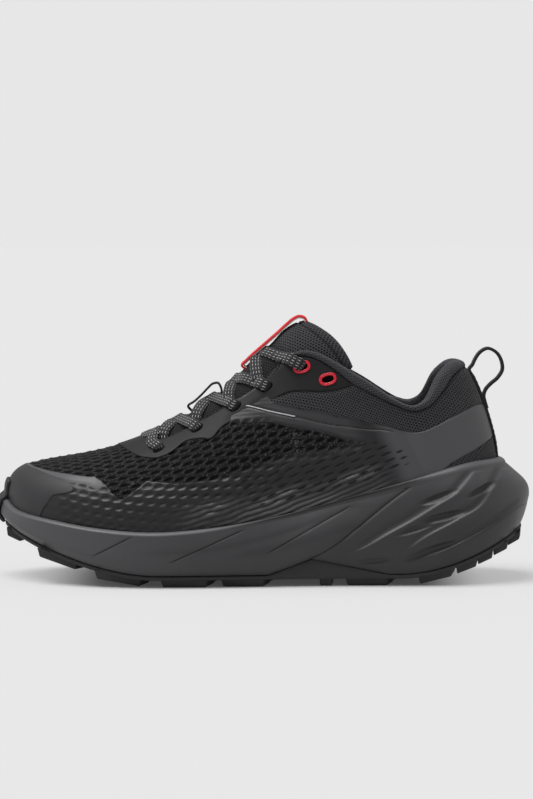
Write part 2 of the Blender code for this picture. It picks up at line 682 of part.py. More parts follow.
def lug_points(corners):
    """Eight corners of a lug: its plan on the floor side, drawn in a little, and its root."""
    middle = np.mean(corners, axis=0)
    foot = [middle + (np.array(c) - middle) * LUG_DRAW_IN for c in corners]
    root = [np.array(c) for c in corners]
    low = [(x, y, tread(x)) for x, y in foot]
    high = [(x, y, tread(x) + LUG + LUG_ROOT) for x, y in root]
    return low + high


def tread_edges(x, outline):
    """Outer and inner edge of the tread at x."""
    half = len(outline) // 2
    outer, inner = outline[: half + 1], np.vstack([outline[half:], outline[:1]])[::-1]
    return np.interp(x, outer[:, 0], outer[:, 1]), np.interp(x, inner[:, 0], inner[:, 1])


def lug_plans(outline):
    """Plans of all lugs: in each row one at either edge, and two slanting ones between."""
    plans = []
    for start, end, length in LUG_ROWS:
        slant = LUG_SLANT * (end - start)
        outer, inner = tread_edges((start + end) / 2, outline)
        outer, inner = outer + LUG_MARGIN, inner - LUG_MARGIN
        for edge, way in ((outer, 1), (inner, -1)):
            plans.append(((start, edge), (end, edge), (end + slant, edge + way * length),
                          (start + slant, edge + way * length)))
        room = inner - outer - 2 * length
        if room > LUG_ROOM:
            width = (room - 3 * LUG_GROOVE) / 2
            for way, near in ((1, outer + length + LUG_GROOVE), (-1, inner - length - LUG_GROOVE)):
                far = near + way * width
                plans.append(((start + slant, near), (end + slant, near), (end + 2 * slant, far),
                              (start + 2 * slant, far)))
    return plans


def make_outsole(parts, helpers):
    u = columns(SOLE_COLUMNS)
    edge = sidewall(u, 1.0)
    over, under = edge.copy(), edge.copy()
    over[:, 2] -= GAP
    under[:, 2] = tread(edge[:, 0]) + LUG
    sheet = solid_of_rings("outsole", [over, under], 4, lambda x: tread(x) + LUG + SHEET,
                           lambda x: tread(x) + LUG, parts, "rubber")
    points, faces = [], []
    for plan in lug_plans(edge):
        k = len(points)
        points += lug_points(plan)
        faces += [(k, k + 1, k + 2, k + 3), (k + 4, k + 5, k + 6, k + 7)]
        faces += [(k + i, k + (i + 1) % 4, k + 4 + (i + 1) % 4, k + 4 + i) for i in range(4)]
    lugs = add_mesh("lugs", points, faces, helpers, "rubber", hidden=True)
    face_outwards(lugs)
    cut_or_join(sheet, [lugs], "UNION")
    return sheet


def main():
    clear_scene()
    parts, helpers = collection("trail_shoe"), collection("helpers")
    eyelet_cutters = [make_eyelet_cutters(helpers)]
    make_upper(parts, eyelet_cutters)
    make_overlays(parts, eyelet_cutters)
    make_eyelet_rings(parts)
    make_tongue(parts)
    make_laces(parts, helpers)
    make_loops(parts)
    make_midsole(parts)
    make_bumper(parts)
    make_insole(parts)
    make_outsole(parts, helpers)


main()
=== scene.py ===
import math

import bpy
import numpy as np
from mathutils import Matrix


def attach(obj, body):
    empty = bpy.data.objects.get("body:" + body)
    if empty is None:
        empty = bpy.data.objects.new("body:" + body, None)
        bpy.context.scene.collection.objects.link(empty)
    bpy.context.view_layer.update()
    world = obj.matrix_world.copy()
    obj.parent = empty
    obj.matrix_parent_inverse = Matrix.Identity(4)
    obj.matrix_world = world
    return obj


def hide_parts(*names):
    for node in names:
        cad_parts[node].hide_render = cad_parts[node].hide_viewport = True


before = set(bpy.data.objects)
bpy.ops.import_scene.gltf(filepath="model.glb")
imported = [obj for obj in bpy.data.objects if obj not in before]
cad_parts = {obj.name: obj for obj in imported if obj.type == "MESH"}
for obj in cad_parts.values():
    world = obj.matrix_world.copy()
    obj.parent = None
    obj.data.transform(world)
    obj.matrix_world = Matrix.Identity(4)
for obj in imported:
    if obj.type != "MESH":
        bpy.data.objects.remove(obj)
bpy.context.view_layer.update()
print("frame loaded with", len(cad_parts), "solids")

# Sizes are in millimetres of the shoe until a mesh is made. The toe points to -X, the outer side to -Y.
mm = 0.001
shoeMiddle = np.array([-0.15, -1.76, 0.0])  # of the shoe's box in plan: the frame's origin lies here

# The last: each rib rises from the footbed's edge (foot) to the throat or collar (top), on the outer (Lat)
# and inner (Med) side. It leaves by lean degrees with a handle of rise, arrives at pitch with one of reach.
ribColumns = "footX footLat footMed topX topLat topMed topZ lean rise pitch reach".split()
ribs = {
    "toe tip": (-142, 7, 7, -66, 1, 1, 79.5, 8, 34.2, 23, 50),
    "toe shoulder": (-134, -16, 28, -65.3, -6, 8, 79.4, 8, 33.6, 24, 46),
    "toe joint": (-116, -34.5, 41, -62.5, -12, 14, 79.5, 8, 32.7, 28, 40),
    "ball front": (-88, -46.5, 48, -55, -16, 18, 81.5, 8, 32, 35, 34),
    "ball": (-57, -50, 47.5, -43, -18, 20, 87, 7, 33, 42, 30),
    "waist front": (-22, -47, 40.5, -20, -19, 20.5, 102.5, 5, 36, 51, 32),
    "waist": (14, -42.5, 35, 3, -20, 21, 118, 4, 38, 60, 34),
    "instep": (48, -39.5, 34.5, 26, -23.5, 24, 125.5, 3, 34, 70, 32),
    "ankle": (78, -38.5, 36, 54, -29.5, 29.5, 113, 3, 30, 82, 26),
    "heel side": (102, -36.5, 35.5, 82, -32.5, 32.5, 99.3, 3, 24, 84, 20),
    "heel quarter": (119, -29.5, 29.5, 97, -26.5, 26.5, 112, 3, 26, 76, 22),
    "heel corner": (129.5, -16.5, 16.5, 108, -15.5, 15.5, 120.3, 3, 29, 64, 22),
    "heel back": (133, 0, 0, 112.5, 0, 0, 121, 3, 30, 58, 22),
}

# The midsole at the same ribs: the widest line of its wall and the height of its rim
soleColumns = "edgeX edgeLat edgeMed rimZ".split()
soleRibs = {
    "toe tip": (-147.5, 8, 8, 45.5),
    "toe shoulder": (-139, -18.5, 30, 39.4),
    "toe joint": (-119, -38.5, 44.5, 35.9),
    "ball front": (-89, -52, 53, 31.9),
    "ball": (-57, -56.5, 53, 30.1),
    "waist front": (-22, -54, 47, 32.9),
    "waist": (14, -49.5, 41, 39.4),
    "instep": (48, -47, 39.5, 48),
    "ankle": (80, -46.5, 41.5, 55.5),
    "heel side": (106, -45.5, 42.5, 62),
    "heel quarter": (128, -37, 36.5, 66.5),
    "heel corner": (143.5, -22, 22, 67.5),
    "heel back": (149.5, 0, 0, 67.5),
}
footbedHeights = {
    -150: 44, -142: 40.3, -130: 34.2, -115: 29.8, -100: 26.8, -80: 24.6, -60: 24,
    -30: 25.5, 0: 28.5, 30: 31.5, 60: 34, 90: 36, 120: 37.5, 150: 39,
}
roundShoe = 24  # places round the shoe: toe tip 0, outer side, heel back 12, inner side
heelBack = 12
wall = 2.4
gap = 0.35
seat = 0.55  # clearance round the upper
openMeshSpan = (1.4, 0.6, 8.4, 1.2)  # places beside the open mesh: start, fade in, end, fade out
mergeWithin = 2e-6  # metres


def smoothThrough(table, x):
    xs = np.array(list(table), float)
    ys = np.array(list(table.values()), float)
    slopes = np.gradient(ys, xs)
    x = np.clip(np.asarray(x, float), xs[0], xs[-1])
    k = np.clip(np.searchsorted(xs, x) - 1, 0, len(xs) - 2)
    step = xs[k + 1] - xs[k]
    t = (x - xs[k]) / step
    ends = ys[k] * (1 + 2 * t) * (1 - t) ** 2 + ys[k + 1] * t * t * (3 - 2 * t)
    return ends + step * t * (1 - t) * (slopes[k] * (1 - t) - slopes[k + 1] * t)


def straightThrough(table, x):
    return np.interp(x, list(table), list(table.values()))


def ease(t):
    t = np.clip(t, 0, 1)
    return t * t * (3 - 2 * t)


def within(value, start, fadeIn, end, fadeOut):
    # 1 between start and end, fading to 0 at both
    return ease((value - start) / fadeIn) * ease((end - value) / fadeOut)


def placeOf(u):
    # place along the shoe, the same number on both sides
    return np.minimum(u, roundShoe - u)


def unit(vectors):
    return vectors / np.linalg.norm(vectors, axis=-1, keepdims=True)


def roundTheShoe(table, columns):
    # each column as a closed loop: toe tip, outer side, heel back, inner side
    rows = np.array(list(table.values()), float)
    byName = {name: rows[:, i] for i, name in enumerate(columns)}
    loop = {}
    for name in columns:
        if name.endswith("Lat"):
            loop[name[:-3] + "Y"] = np.concatenate([byName[name], byName[name[:-3] + "Med"][-2:0:-1]])
        elif not name.endswith("Med"):
            loop[name] = np.concatenate([byName[name], byName[name][-2:0:-1]])
    return loop


ribLoop = roundTheShoe(ribs, ribColumns)
soleLoop = roundTheShoe(soleRibs, soleColumns)


def atRib(values, u):
    # smooth closed curve through one value a rib
    u = np.asarray(u, float) % roundShoe
    k = np.floor(u).astype(int)
    t = u - k
    a, b, c, d = (values[(k + step) % roundShoe] for step in (-1, 0, 1, 2))
    return 0.5 * (2 * b + (c - a) * t + (2 * a - 5 * b + 4 * c - d) * t**2 + (3 * b - a - 3 * c + d) * t**3)


def footbedHeight(x):
    return smoothThrough(footbedHeights, x)


def outwardAt(u):
    # level direction out of the footbed's edge
    small = 0.05
    alongX = atRib(ribLoop["footX"], u + small) - atRib(ribLoop["footX"], u - small)
    alongY = atRib(ribLoop["footY"], u + small) - atRib(ribLoop["footY"], u - small)
    return unit(np.stack([alongY, -alongX, 0 * alongX], -1))


def upperPoint(u, v):
    # outer face of the upper: u runs round the shoe, v from the footbed (0) to the top edge (1)
    u, v = np.broadcast_arrays(np.asarray(u, float), np.asarray(v, float))
    rib = {name: atRib(values, u) for name, values in ribLoop.items()}
    foot = np.stack([rib["footX"], rib["footY"], footbedHeight(rib["footX"]) + gap], -1)
    top = np.stack([rib["topX"], rib["topY"], rib["topZ"]], -1)
    lean, pitch = np.radians(rib["lean"])[..., None], np.radians(rib["pitch"])[..., None]
    up = np.array([0.0, 0.0, 1.0])
    inward = unit((top - foot) * np.array([1.0, 1.0, 0.0]))
    start = foot + rib["rise"][..., None] * (np.sin(lean) * outwardAt(u) + np.cos(lean) * up)
    arrive = top - rib["reach"][..., None] * (np.cos(pitch) * inward + np.sin(pitch) * up)
    t = v[..., None]
    return foot * (1 - t) ** 3 + 3 * start * t * (1 - t) ** 2 + 3 * arrive * t * t * (1 - t) + top * t**3


def upperNormal(u, v):
    small = 0.01
    along = upperPoint(u + small, v) - upperPoint(u - small, v)
    rising = upperPoint(u, v + small) - upperPoint(u, v - small)
    return unit(np.cross(along, rising))


def offUpper(u, v, distance):
    distance = np.asarray(distance, float)[..., None]
    return upperPoint(u, v) + distance * upperNormal(u, v)


def rimLevel(u):
    # level v where the upper comes out of the midsole's rim
    u = np.asarray(u, float).ravel()
    levels = np.linspace(0, 0.6, 121)
    heights = upperPoint(u[:, None], levels[None, :])[..., 2]
    goals = atRib(soleLoop["rimZ"], u)
    return np.array([np.interp(goal, row, levels) for goal, row in zip(goals, heights)])


def spreadColumns(count, level, closer=1.0):
    # places round the shoe, even along the given level, and closer together beside the open mesh
    fine = np.linspace(0, heelBack, 2401)
    spots = upperPoint(fine, level + 0 * fine)
    middle = (fine[1:] + fine[:-1]) / 2
    weight = 1 + (closer - 1) * within(middle, *openMeshSpan)
    run = np.concatenate([[0], np.cumsum(np.linalg.norm(np.diff(spots, axis=0), axis=1) * weight)])
    half = np.interp(np.linspace(0, run[-1], count // 2 + 1), run, fine)
    return np.concatenate([half, roundShoe - half[-2:0:-1]])


# Building of pieces
def closeMesh():
    # merges points that meet and turns all faces outward
    bpy.ops.object.mode_set(mode="EDIT")
    bpy.ops.mesh.select_all(action="SELECT")
    bpy.ops.mesh.remove_doubles(threshold=mergeWithin)
    bpy.ops.mesh.normals_make_consistent(inside=False)
    bpy.ops.object.mode_set(mode="OBJECT")


def gridPiece(name, points, uv=None, marks=None):
    # a grid whose vertices take the places in points (rows, columns, xyz); edges that meet are merged
    rows, columns = points.shape[:2]
    bpy.ops.object.select_all(action="DESELECT")
    bpy.ops.mesh.primitive_grid_add(x_subdivisions=columns - 1, y_subdivisions=rows - 1)
    piece = bpy.context.object
    piece.name = piece.data.name = name
    mesh = piece.data
    mesh.vertices.foreach_set("co", ((points - shoeMiddle) * mm).astype(np.float32).ravel())
    if uv is not None:
        corners = np.zeros(len(mesh.loops), np.int32)
        mesh.loops.foreach_get("vertex_index", corners)
        mesh.uv_layers.active.data.foreach_set("uv", uv.reshape(-1, 2)[corners].astype(np.float32).ravel())
    for mark, values in (marks or {}).items():
        layer = mesh.attributes.new(mark, "FLOAT", "POINT")
        layer.data.foreach_set("value", np.asarray(values).astype(np.float32).ravel())
    closeMesh()
    bpy.ops.object.shade_smooth()
    return piece


def addModifier(piece, kind, **settings):
    bpy.context.view_layer.objects.active = piece
    change = piece.modifiers.new(kind.lower(), kind)
    for key, value in settings.items():
        setattr(change, key, value)
    bpy.ops.object.modifier_apply(modifier=change.name)


def joinPieces(name, pieces):
    bpy.ops.object.select_all(action="DESELECT")
    for piece in pieces:
        piece.select_set(True)
    bpy.context.view_layer.objects.active = pieces[0]
    bpy.ops.object.join()
    pieces[0].name = pieces[0].data.name = name
    return pieces[0]


def finishPiece(piece, material, slot, *nodes):
    piece.data.materials.clear()
    piece.data.materials.append(material)
    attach(piece, "root")
    if nodes:
        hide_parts(*nodes)
    print("made", piece.name, len(piece.data.polygons), "faces")
    return piece


def runAlong(points, axis):
    # length run from the first row or column
    steps = np.linalg.norm(np.diff(points, axis=axis), axis=-1)
    start = np.zeros_like(np.take(steps, [0], axis=axis))
    return np.concatenate([start, np.cumsum(steps, axis=axis)], axis=axis)


def lengthRun(path):
    return runAlong(path[:, None], 0)[:, 0]


def betweenRows(at, run, rows):
    # rows of numbers, read at places along their run
    return np.stack([np.interp(at, run, column) for column in rows.T], -1)


def squareOval(turn, square):
    # an oval of half size 1, the squarer the smaller its power
    c, s = np.cos(turn), np.sin(turn)
    return np.sign(c) * np.abs(c) ** square, np.sign(s) * np.abs(s) ** square


def gridNormal(spot, outside):
    # direction out of each point of a grid, on the side that outside points to
    look = unit(np.cross(np.gradient(spot, axis=1), np.gradient(spot, axis=0)))
    middle = look[spot.shape[0] // 2, spot.shape[1] // 2]
    return look if middle @ np.array(outside) > 0 else -look


def edgeDistance(points):
    # how far each point of a grid lies from the grid's nearest edge
    across, along = runAlong(points, 0), runAlong(points, 1)
    return np.minimum.reduce([across, across[-1:] - across, along, along[:, -1:] - along])


def roundedEdge(distance, radius):
    return np.sqrt(1 - (1 - np.clip(distance / radius, 0, 1)) ** 2)


def pillow(outer, inner):
    # closes an outer and an inner grid that share their four edges
    return np.concatenate([outer, inner[-2:0:-1], outer[:1]])


def platePiece(name, u, v, settings, relief=0.0):
    # a plate laid on the upper over grids of places u and v, with its edges rolled down into it
    spot, look = upperPoint(u, v), upperNormal(u, v)
    height = settings["bed"] + (settings["thick"] + relief - settings["bed"]) * roundedEdge(
        edgeDistance(spot), settings["edge"])
    outer = spot + height[..., None] * look
    inner = spot + settings["bed"] * look
    return gridPiece(name, pillow(outer, inner))


def closeRound(rows):
    # rings as one grid, with the first column again at the end
    grid = np.stack(rows)
    return np.concatenate([grid, grid[:, :1]], axis=1)


def towardSpine(ring, share, height):
    facing = np.roll(ring[::-1], 1, axis=0)  # the point straight across the shoe
    spot = ring + (facing - ring) * share / 2
    spot[:, 2] = height(spot[:, 0])
    return spot


def smoothPath(points, count):
    points = np.asarray(points, float)
    run = lengthRun(points)
    places = np.linspace(0, run[-1], count)
    columns = [smoothThrough(dict(zip(run, points[:, i])), places) for i in range(points.shape[1])]
    return np.stack(columns, -1)


def sweptPiece(name, path, look, width, thick, sides=16, square=0.45, shade=None):
    # a flat band along a path, its face turned to look, its ends closed; face is 1 on top, -1 beneath
    along = unit(np.gradient(path, axis=0))
    across = unit(np.cross(look, along))
    out = np.cross(along, across)
    turn = np.arange(sides + 1) * 2 * math.pi / sides
    flat, high = squareOval(turn, square)
    flat, high = flat * width / 2, high * thick / 2
    body = path[:, None] + flat[None, :, None] * across[:, None] + high[None, :, None] * out[:, None]
    ends = [np.repeat(path[k][None, None], sides + 1, axis=1) for k in (0, -1)]
    points = np.concatenate([ends[0], body, ends[1]])
    run = lengthRun(path)
    run = np.concatenate([run[:1], run, run[-1:]])
    uv = np.stack(np.broadcast_arrays(flat[None, :], run[:, None]), -1)
    marks = {"face": np.broadcast_to(np.sin(turn), points.shape[:2])}
    if shade is not None:
        shade = np.concatenate([shade[:1], shade, shade[-1:]])
        marks["shade"] = np.broadcast_to(shade[:, None], points.shape[:2])
    return gridPiece(name, points, uv, marks)


# Materials
def toLinear(colour):
    values = [int(colour[i:i + 2], 16) / 255 for i in (0, 2, 4)]
    return (*[c / 12.92 if c <= 0.04045 else ((c + 0.055) / 1.055) ** 2.4 for c in values], 1)


def addNode(tree, kind, inputs=None, **settings):
    node = tree.nodes.new(kind)
    for key, value in settings.items():
        setattr(node, key, value)
    for socket, value in (inputs or {}).items():
        if isinstance(value, bpy.types.NodeSocket):
            tree.links.new(value, node.inputs[socket])
        else:
            node.inputs[socket].default_value = value
    return node


def newMaterial(name, **sockets):
    material = bpy.data.materials.new(name)
    material.use_nodes = True
    tree = material.node_tree
    shader = tree.nodes["Principled BSDF"]
    for socket, value in sockets.items():
        shader.inputs[socket.replace("_", " ")].default_value = value
    return material, tree, shader


def readMark(tree, name):
    return addNode(tree, "ShaderNodeAttribute", attribute_name=name).outputs["Fac"]


def mixColours(tree, share, low, high):
    mixed = addNode(tree, "ShaderNodeMix", {0: share, 6: low, 7: high}, data_type="RGBA")
    return mixed.outputs[2]


def dotLattice(tree, vector, pitch):
    # round dots on a triangular lattice: 1 in the middle of a dot, 0 between
    reach = 2 * math.pi / (pitch * math.cos(math.pi / 6))
    total = None
    for turn in (0, 60, 120):
        way = (reach * math.cos(math.radians(turn)), reach * math.sin(math.radians(turn)), 0)
        phase = addNode(tree, "ShaderNodeVectorMath", {0: vector, 1: way}, operation="DOT_PRODUCT")
        wave = addNode(tree, "ShaderNodeMath", {0: phase.outputs["Value"]}, operation="COSINE").outputs[0]
        if total is not None:
            wave = addNode(tree, "ShaderNodeMath", {0: total, 1: wave}, operation="ADD").outputs[0]
        total = wave
    return addNode(tree, "ShaderNodeMapRange", {0: total, 1: -0.4, 2: 1.3}).outputs[0]


def fineGrain(tree, size, detail=2.0):
    # noise whose grains are size millimetres across, on object coordinates in metres
    place = addNode(tree, "ShaderNodeTexCoord").outputs["Object"]
    return addNode(tree, "ShaderNodeTexNoise", {"Vector": place, "Scale": 1 / (size * mm),
                                                "Detail": detail}).outputs["Fac"]


def addBump(tree, shader, height, strength, depth, below=None):
    inputs = {"Height": height, "Strength": strength, "Distance": depth * mm}
    if below is not None:
        inputs["Normal"] = below
    normal = addNode(tree, "ShaderNodeBump", inputs).outputs[0]
    tree.links.new(normal, shader.inputs["Normal"])
    return normal


def makeMeshMaterial():
    # polyester mesh with a film fused to its lower part: matt yarn with deep holes, satin film
    material, tree, shader = newMaterial("polyesterMesh", Specular_IOR_Level=0.3, Sheen_Weight=0.05,
                                         Sheen_Roughness=0.4)
    ranges = {"film": (0.0, 1.0), "collar": (0.0, 1.0), "lens": (-0.25, 0.12), "rib": (0.0, 0.6),
              "dark": (0.0, 0.5), "heelward": (0.0, 1.0), "ridge": (0.0, 1.0), "pale": (0.0, 1.0)}
    marks = {}
    for mark, (low, high) in ranges.items():
        step = addNode(tree, "ShaderNodeMapRange", {0: readMark(tree, mark), 1: low, 2: high},
                       interpolation_type="SMOOTHSTEP")
        marks[mark] = step.outputs[0]
    collar = marks["collar"]
    bareOfCollar = addNode(tree, "ShaderNodeMath", {0: 1.0, 1: collar}, operation="SUBTRACT").outputs[0]
    film, hole = (
        addNode(tree, "ShaderNodeMath", {0: marks[mark], 1: bareOfCollar}, operation="MULTIPLY").outputs[0]
        for mark in ("film", "lens"))
    place = addNode(tree, "ShaderNodeUVMap").outputs[0]
    dots = dotLattice(tree, place, 1.75)  # collar holes, about 1.5 mm apart, are drawn a little wider apart
    collarHole = addNode(tree, "ShaderNodeMath", {0: dots, 1: collar}, operation="MULTIPLY").outputs[0]
    yarn = fineGrain(tree, 0.8)  # yarn is finer than this; it is drawn coarse enough to show
    # light flecks on the yarn, painted to stand in for its glints
    fleck = addNode(tree, "ShaderNodeMapRange", {0: yarn, 1: 0.54, 2: 0.7}).outputs[0]
    cloth = mixColours(tree, fleck, toLinear("080809"), toLinear("444446"))
    cloth = mixColours(tree, marks["rib"], cloth, toLinear("242426"))
    knit = mixColours(tree, yarn, toLinear("29292b"), toLinear("434346"))
    cloth = mixColours(tree, collar, cloth, knit)
    cloth = mixColours(tree, collarHole, cloth, toLinear("030303"))
    cloth = mixColours(tree, hole, cloth, toLinear("020202"))
    satin = mixColours(tree, fineGrain(tree, 6.0), toLinear("1c1c1e"), toLinear("262628"))
    satin = mixColours(tree, marks["heelward"], satin, toLinear("464648"))
    # pale: painted highlight on the film's dimple lips and the strip over the toe cap; a paler saddle
    satin = mixColours(tree, marks["pale"], satin, toLinear("58585a"))
    ridgePitch = 2.7  # millimetres between the ridges that sweep along the film, a little wavy
    turns = addNode(tree, "ShaderNodeMath", {0: readMark(tree, "sweep"), 1: 2 * math.pi / ridgePitch},
                    operation="MULTIPLY")
    wavy = addNode(tree, "ShaderNodeMath", {0: fineGrain(tree, 16.0), 1: 6.0, 2: turns.outputs[0]},
                   operation="MULTIPLY_ADD")
    wave = addNode(tree, "ShaderNodeMath", {0: wavy.outputs[0]}, operation="SINE").outputs[0]
    # the ridges' crests are painted paler and their troughs darker, following the bump: painted highlight and
    # shade
    crest = addNode(tree, "ShaderNodeMapRange", {0: wave, 1: -1.0, 2: 1.0}).outputs[0]
    streaks = mixColours(tree, crest, toLinear("161617"), toLinear("525254"))
    satin = mixColours(tree, marks["ridge"], satin, streaks)
    colour = mixColours(tree, film, cloth, satin)
    colour = mixColours(tree, marks["dark"], colour, toLinear("050505"))
    tree.links.new(colour, shader.inputs["Base Color"])
    rough = addNode(tree, "ShaderNodeMapRange", {0: film, 3: 0.95, 4: 0.4})
    tree.links.new(rough.outputs[0], shader.inputs["Roughness"])
    grain = addNode(tree, "ShaderNodeMath", {0: yarn, 1: collarHole}, operation="SUBTRACT").outputs[0]
    bare = addNode(tree, "ShaderNodeMapRange", {0: film, 3: 0.8, 4: 0.08}).outputs[0]
    raised = addNode(tree, "ShaderNodeMath", {0: wave, 1: marks["ridge"]}, operation="MULTIPLY").outputs[0]
    ridged = addBump(tree, shader, raised, 1.0, 0.26)
    addBump(tree, shader, grain, bare, 0.5, ridged)
    return material


def makeFilmMaterial(name, low, high, roughness):
    # thermoplastic film pressed over the mesh: dark, satin, with a fine matt grain
    material, tree, shader = newMaterial(name, Specular_IOR_Level=0.28)
    grain = fineGrain(tree, 0.6)
    colour = mixColours(tree, fineGrain(tree, 9.0), toLinear(low), toLinear(high))
    tree.links.new(colour, shader.inputs["Base Color"])
    rough = addNode(tree, "ShaderNodeMapRange", {0: grain, 3: roughness - 0.06, 4: roughness + 0.06})
    tree.links.new(rough.outputs[0], shader.inputs["Roughness"])
    addBump(tree, shader, grain, 0.2, 0.12)
    return material


def makeRubberMaterial(name, low, high, roughness):
    # moulded carbon rubber: dull charcoal with a dusty bloom
    material, tree, shader = newMaterial(name, Specular_IOR_Level=0.35)
    colour = mixColours(tree, fineGrain(tree, 5.0, 4.0), toLinear(low), toLinear(high))
    tree.links.new(colour, shader.inputs["Base Color"])
    grain = fineGrain(tree, 0.5)
    rough = addNode(tree, "ShaderNodeMapRange", {0: grain, 3: roughness - 0.06, 4: roughness + 0.08})
    tree.links.new(rough.outputs[0], shader.inputs["Roughness"])
    addBump(tree, shader, grain, 0.2, 0.15)
    return material


def makeFoamMaterial():
    # compression moulded foam: charcoal skin with a soft shine, painted shade in its creases and hollows, and
    # painted light along its rim and on its toe and heel
    material, tree, shader = newMaterial("mouldedFoam", Specular_IOR_Level=0.4)
    colour = mixColours(tree, fineGrain(tree, 12.0), toLinear("333335"), toLinear("3a3a3c"))
    # pale: painted highlight along the rim's bead and painted light on the toe end and the heel
    colour = mixColours(tree, readMark(tree, "pale"), colour, toLinear("565658"))
    # dark: painted shade in the wall's hollows and leaves, over the lower waist and heel, and at the rim at
    # the waist
    dark = addNode(tree, "ShaderNodeMapRange", {0: readMark(tree, "dark"), 1: 0.0, 2: 1.0}).outputs[0]
    colour = mixColours(tree, dark, colour, toLinear("080808"))
    # a thin painted shade line along each crease
    away = addNode(tree, "ShaderNodeMath", {0: readMark(tree, "creaseAway")}, operation="ABSOLUTE").outputs[0]
    line = addNode(tree, "ShaderNodeMapRange", {0: away, 1: 0.9, 2: 0.35}).outputs[0]
    near = readMark(tree, "creaseNear")
    line = addNode(tree, "ShaderNodeMath", {0: line, 1: near}, operation="MULTIPLY").outputs[0]
    colour = mixColours(tree, line, colour, toLinear("040404"))
    tree.links.new(colour, shader.inputs["Base Color"])
    pebble = fineGrain(tree, 0.9)
    rough = addNode(tree, "ShaderNodeMapRange", {0: pebble, 3: 0.4, 4: 0.54})
    tree.links.new(rough.outputs[0], shader.inputs["Roughness"])
    addBump(tree, shader, pebble, 0.2, 0.12)
    return material


def makeKnitMaterial(name, low, high, hole, pitch, sheen):
    # knitted spacer cloth: soft dark loops round small dark holes
    material, tree, shader = newMaterial(name, Roughness=0.9, Specular_IOR_Level=0.25, Sheen_Weight=sheen,
                                         Sheen_Roughness=0.4)
    place = addNode(tree, "ShaderNodeUVMap").outputs[0]
    dots = dotLattice(tree, place, pitch)
    yarn = fineGrain(tree, 0.5)
    cloth = mixColours(tree, yarn, toLinear(low), toLinear(high))
    colour = mixColours(tree, dots, cloth, toLinear(hole))
    colour = mixColours(tree, readMark(tree, "shade"), colour, toLinear("060607"))
    tree.links.new(colour, shader.inputs["Base Color"])
    loops = addNode(tree, "ShaderNodeMath", {0: yarn, 1: dots}, operation="SUBTRACT").outputs[0]
    addBump(tree, shader, loops, 0.9, 0.5)
    return material


def makeWebbingMaterial(name, low, high, under=None):
    # woven tape: fine ribs across its length; under is the colour of its lower face
    material, tree, shader = newMaterial(name, Roughness=0.8, Specular_IOR_Level=0.3, Sheen_Weight=0.15)
    place = addNode(tree, "ShaderNodeUVMap").outputs[0]
    rib = addNode(tree, "ShaderNodeTexWave", {"Vector": place, "Scale": 0.55, "Distortion": 0.6,
                                              "Detail": 1.0}, bands_direction="Y").outputs["Fac"]
    colour = mixColours(tree, rib, toLinear(low), toLinear(high))
    if under:
        face = addNode(tree, "ShaderNodeMapRange", {0: readMark(tree, "face"), 1: -0.3, 2: -0.1}).outputs[0]
        colour = mixColours(tree, face, toLinear(under), colour)
    tree.links.new(colour, shader.inputs["Base Color"])
    addBump(tree, shader, rib, 0.5, 0.3)
    return material


def makeLaceMaterial():
    # flat braided lace: charcoal yarn with white tracer threads that surface as rows of dashes
    material, tree, shader = newMaterial("braidedLace", Roughness=0.8, Specular_IOR_Level=0.3,
                                         Sheen_Weight=0.15)
    rowHalf, dashHalf = 0.8, 1.5  # half of the spacing of rows and of dashes, in millimetres
    place = addNode(tree, "ShaderNodeUVMap").outputs[0]
    split = addNode(tree, "ShaderNodeSeparateXYZ", {0: place})
    across, along = split.outputs[0], split.outputs[1]
    rows = addNode(tree, "ShaderNodeMath", {0: across, 1: rowHalf}, operation="PINGPONG").outputs[0]
    row = addNode(tree, "ShaderNodeMapRange", {0: rows, 1: 0.17, 2: 0.06}).outputs[0]
    dash = addNode(tree, "ShaderNodeMath", {0: along, 1: dashHalf}, operation="PINGPONG").outputs[0]
    dash = addNode(tree, "ShaderNodeMapRange", {0: dash, 1: 0.65, 2: 0.8}).outputs[0]
    tracer = addNode(tree, "ShaderNodeMath", {0: row, 1: dash}, operation="MULTIPLY").outputs[0]
    braid = addNode(tree, "ShaderNodeTexWave", {"Vector": place, "Scale": 0.4, "Distortion": 2.0,
                                                "Detail": 2.0}, bands_direction="DIAGONAL").outputs["Fac"]
    yarn = mixColours(tree, braid, toLinear("0c0c0d"), toLinear("2c2c2e"))
    colour = mixColours(tree, tracer, yarn, toLinear("c0c0c0"))
    colour = mixColours(tree, readMark(tree, "shade"), colour, toLinear("080808"))
    tree.links.new(colour, shader.inputs["Base Color"])
    addBump(tree, shader, braid, 0.6, 0.35)
    return material


def makeEnamelMaterial():
    # red printed eyelet edge: glossy and a little uneven
    material, tree, shader = newMaterial("redEyeletPrint", Roughness=0.35, Specular_IOR_Level=0.5)
    colour = mixColours(tree, fineGrain(tree, 1.2), toLinear("c8122a"), toLinear("dc2038"))
    tree.links.new(colour, shader.inputs["Base Color"])
    addBump(tree, shader, fineGrain(tree, 0.6), 0.15, 0.15)
    return material


def makePlainThread(name, low, high):
    # twisted sewing thread or cord: a fine light and dark twist
    material, tree, shader = newMaterial(name, Roughness=0.55, Specular_IOR_Level=0.4)
    colour = mixColours(tree, fineGrain(tree, 0.8), toLinear(low), toLinear(high))
    tree.links.new(colour, shader.inputs["Base Color"])
    return material


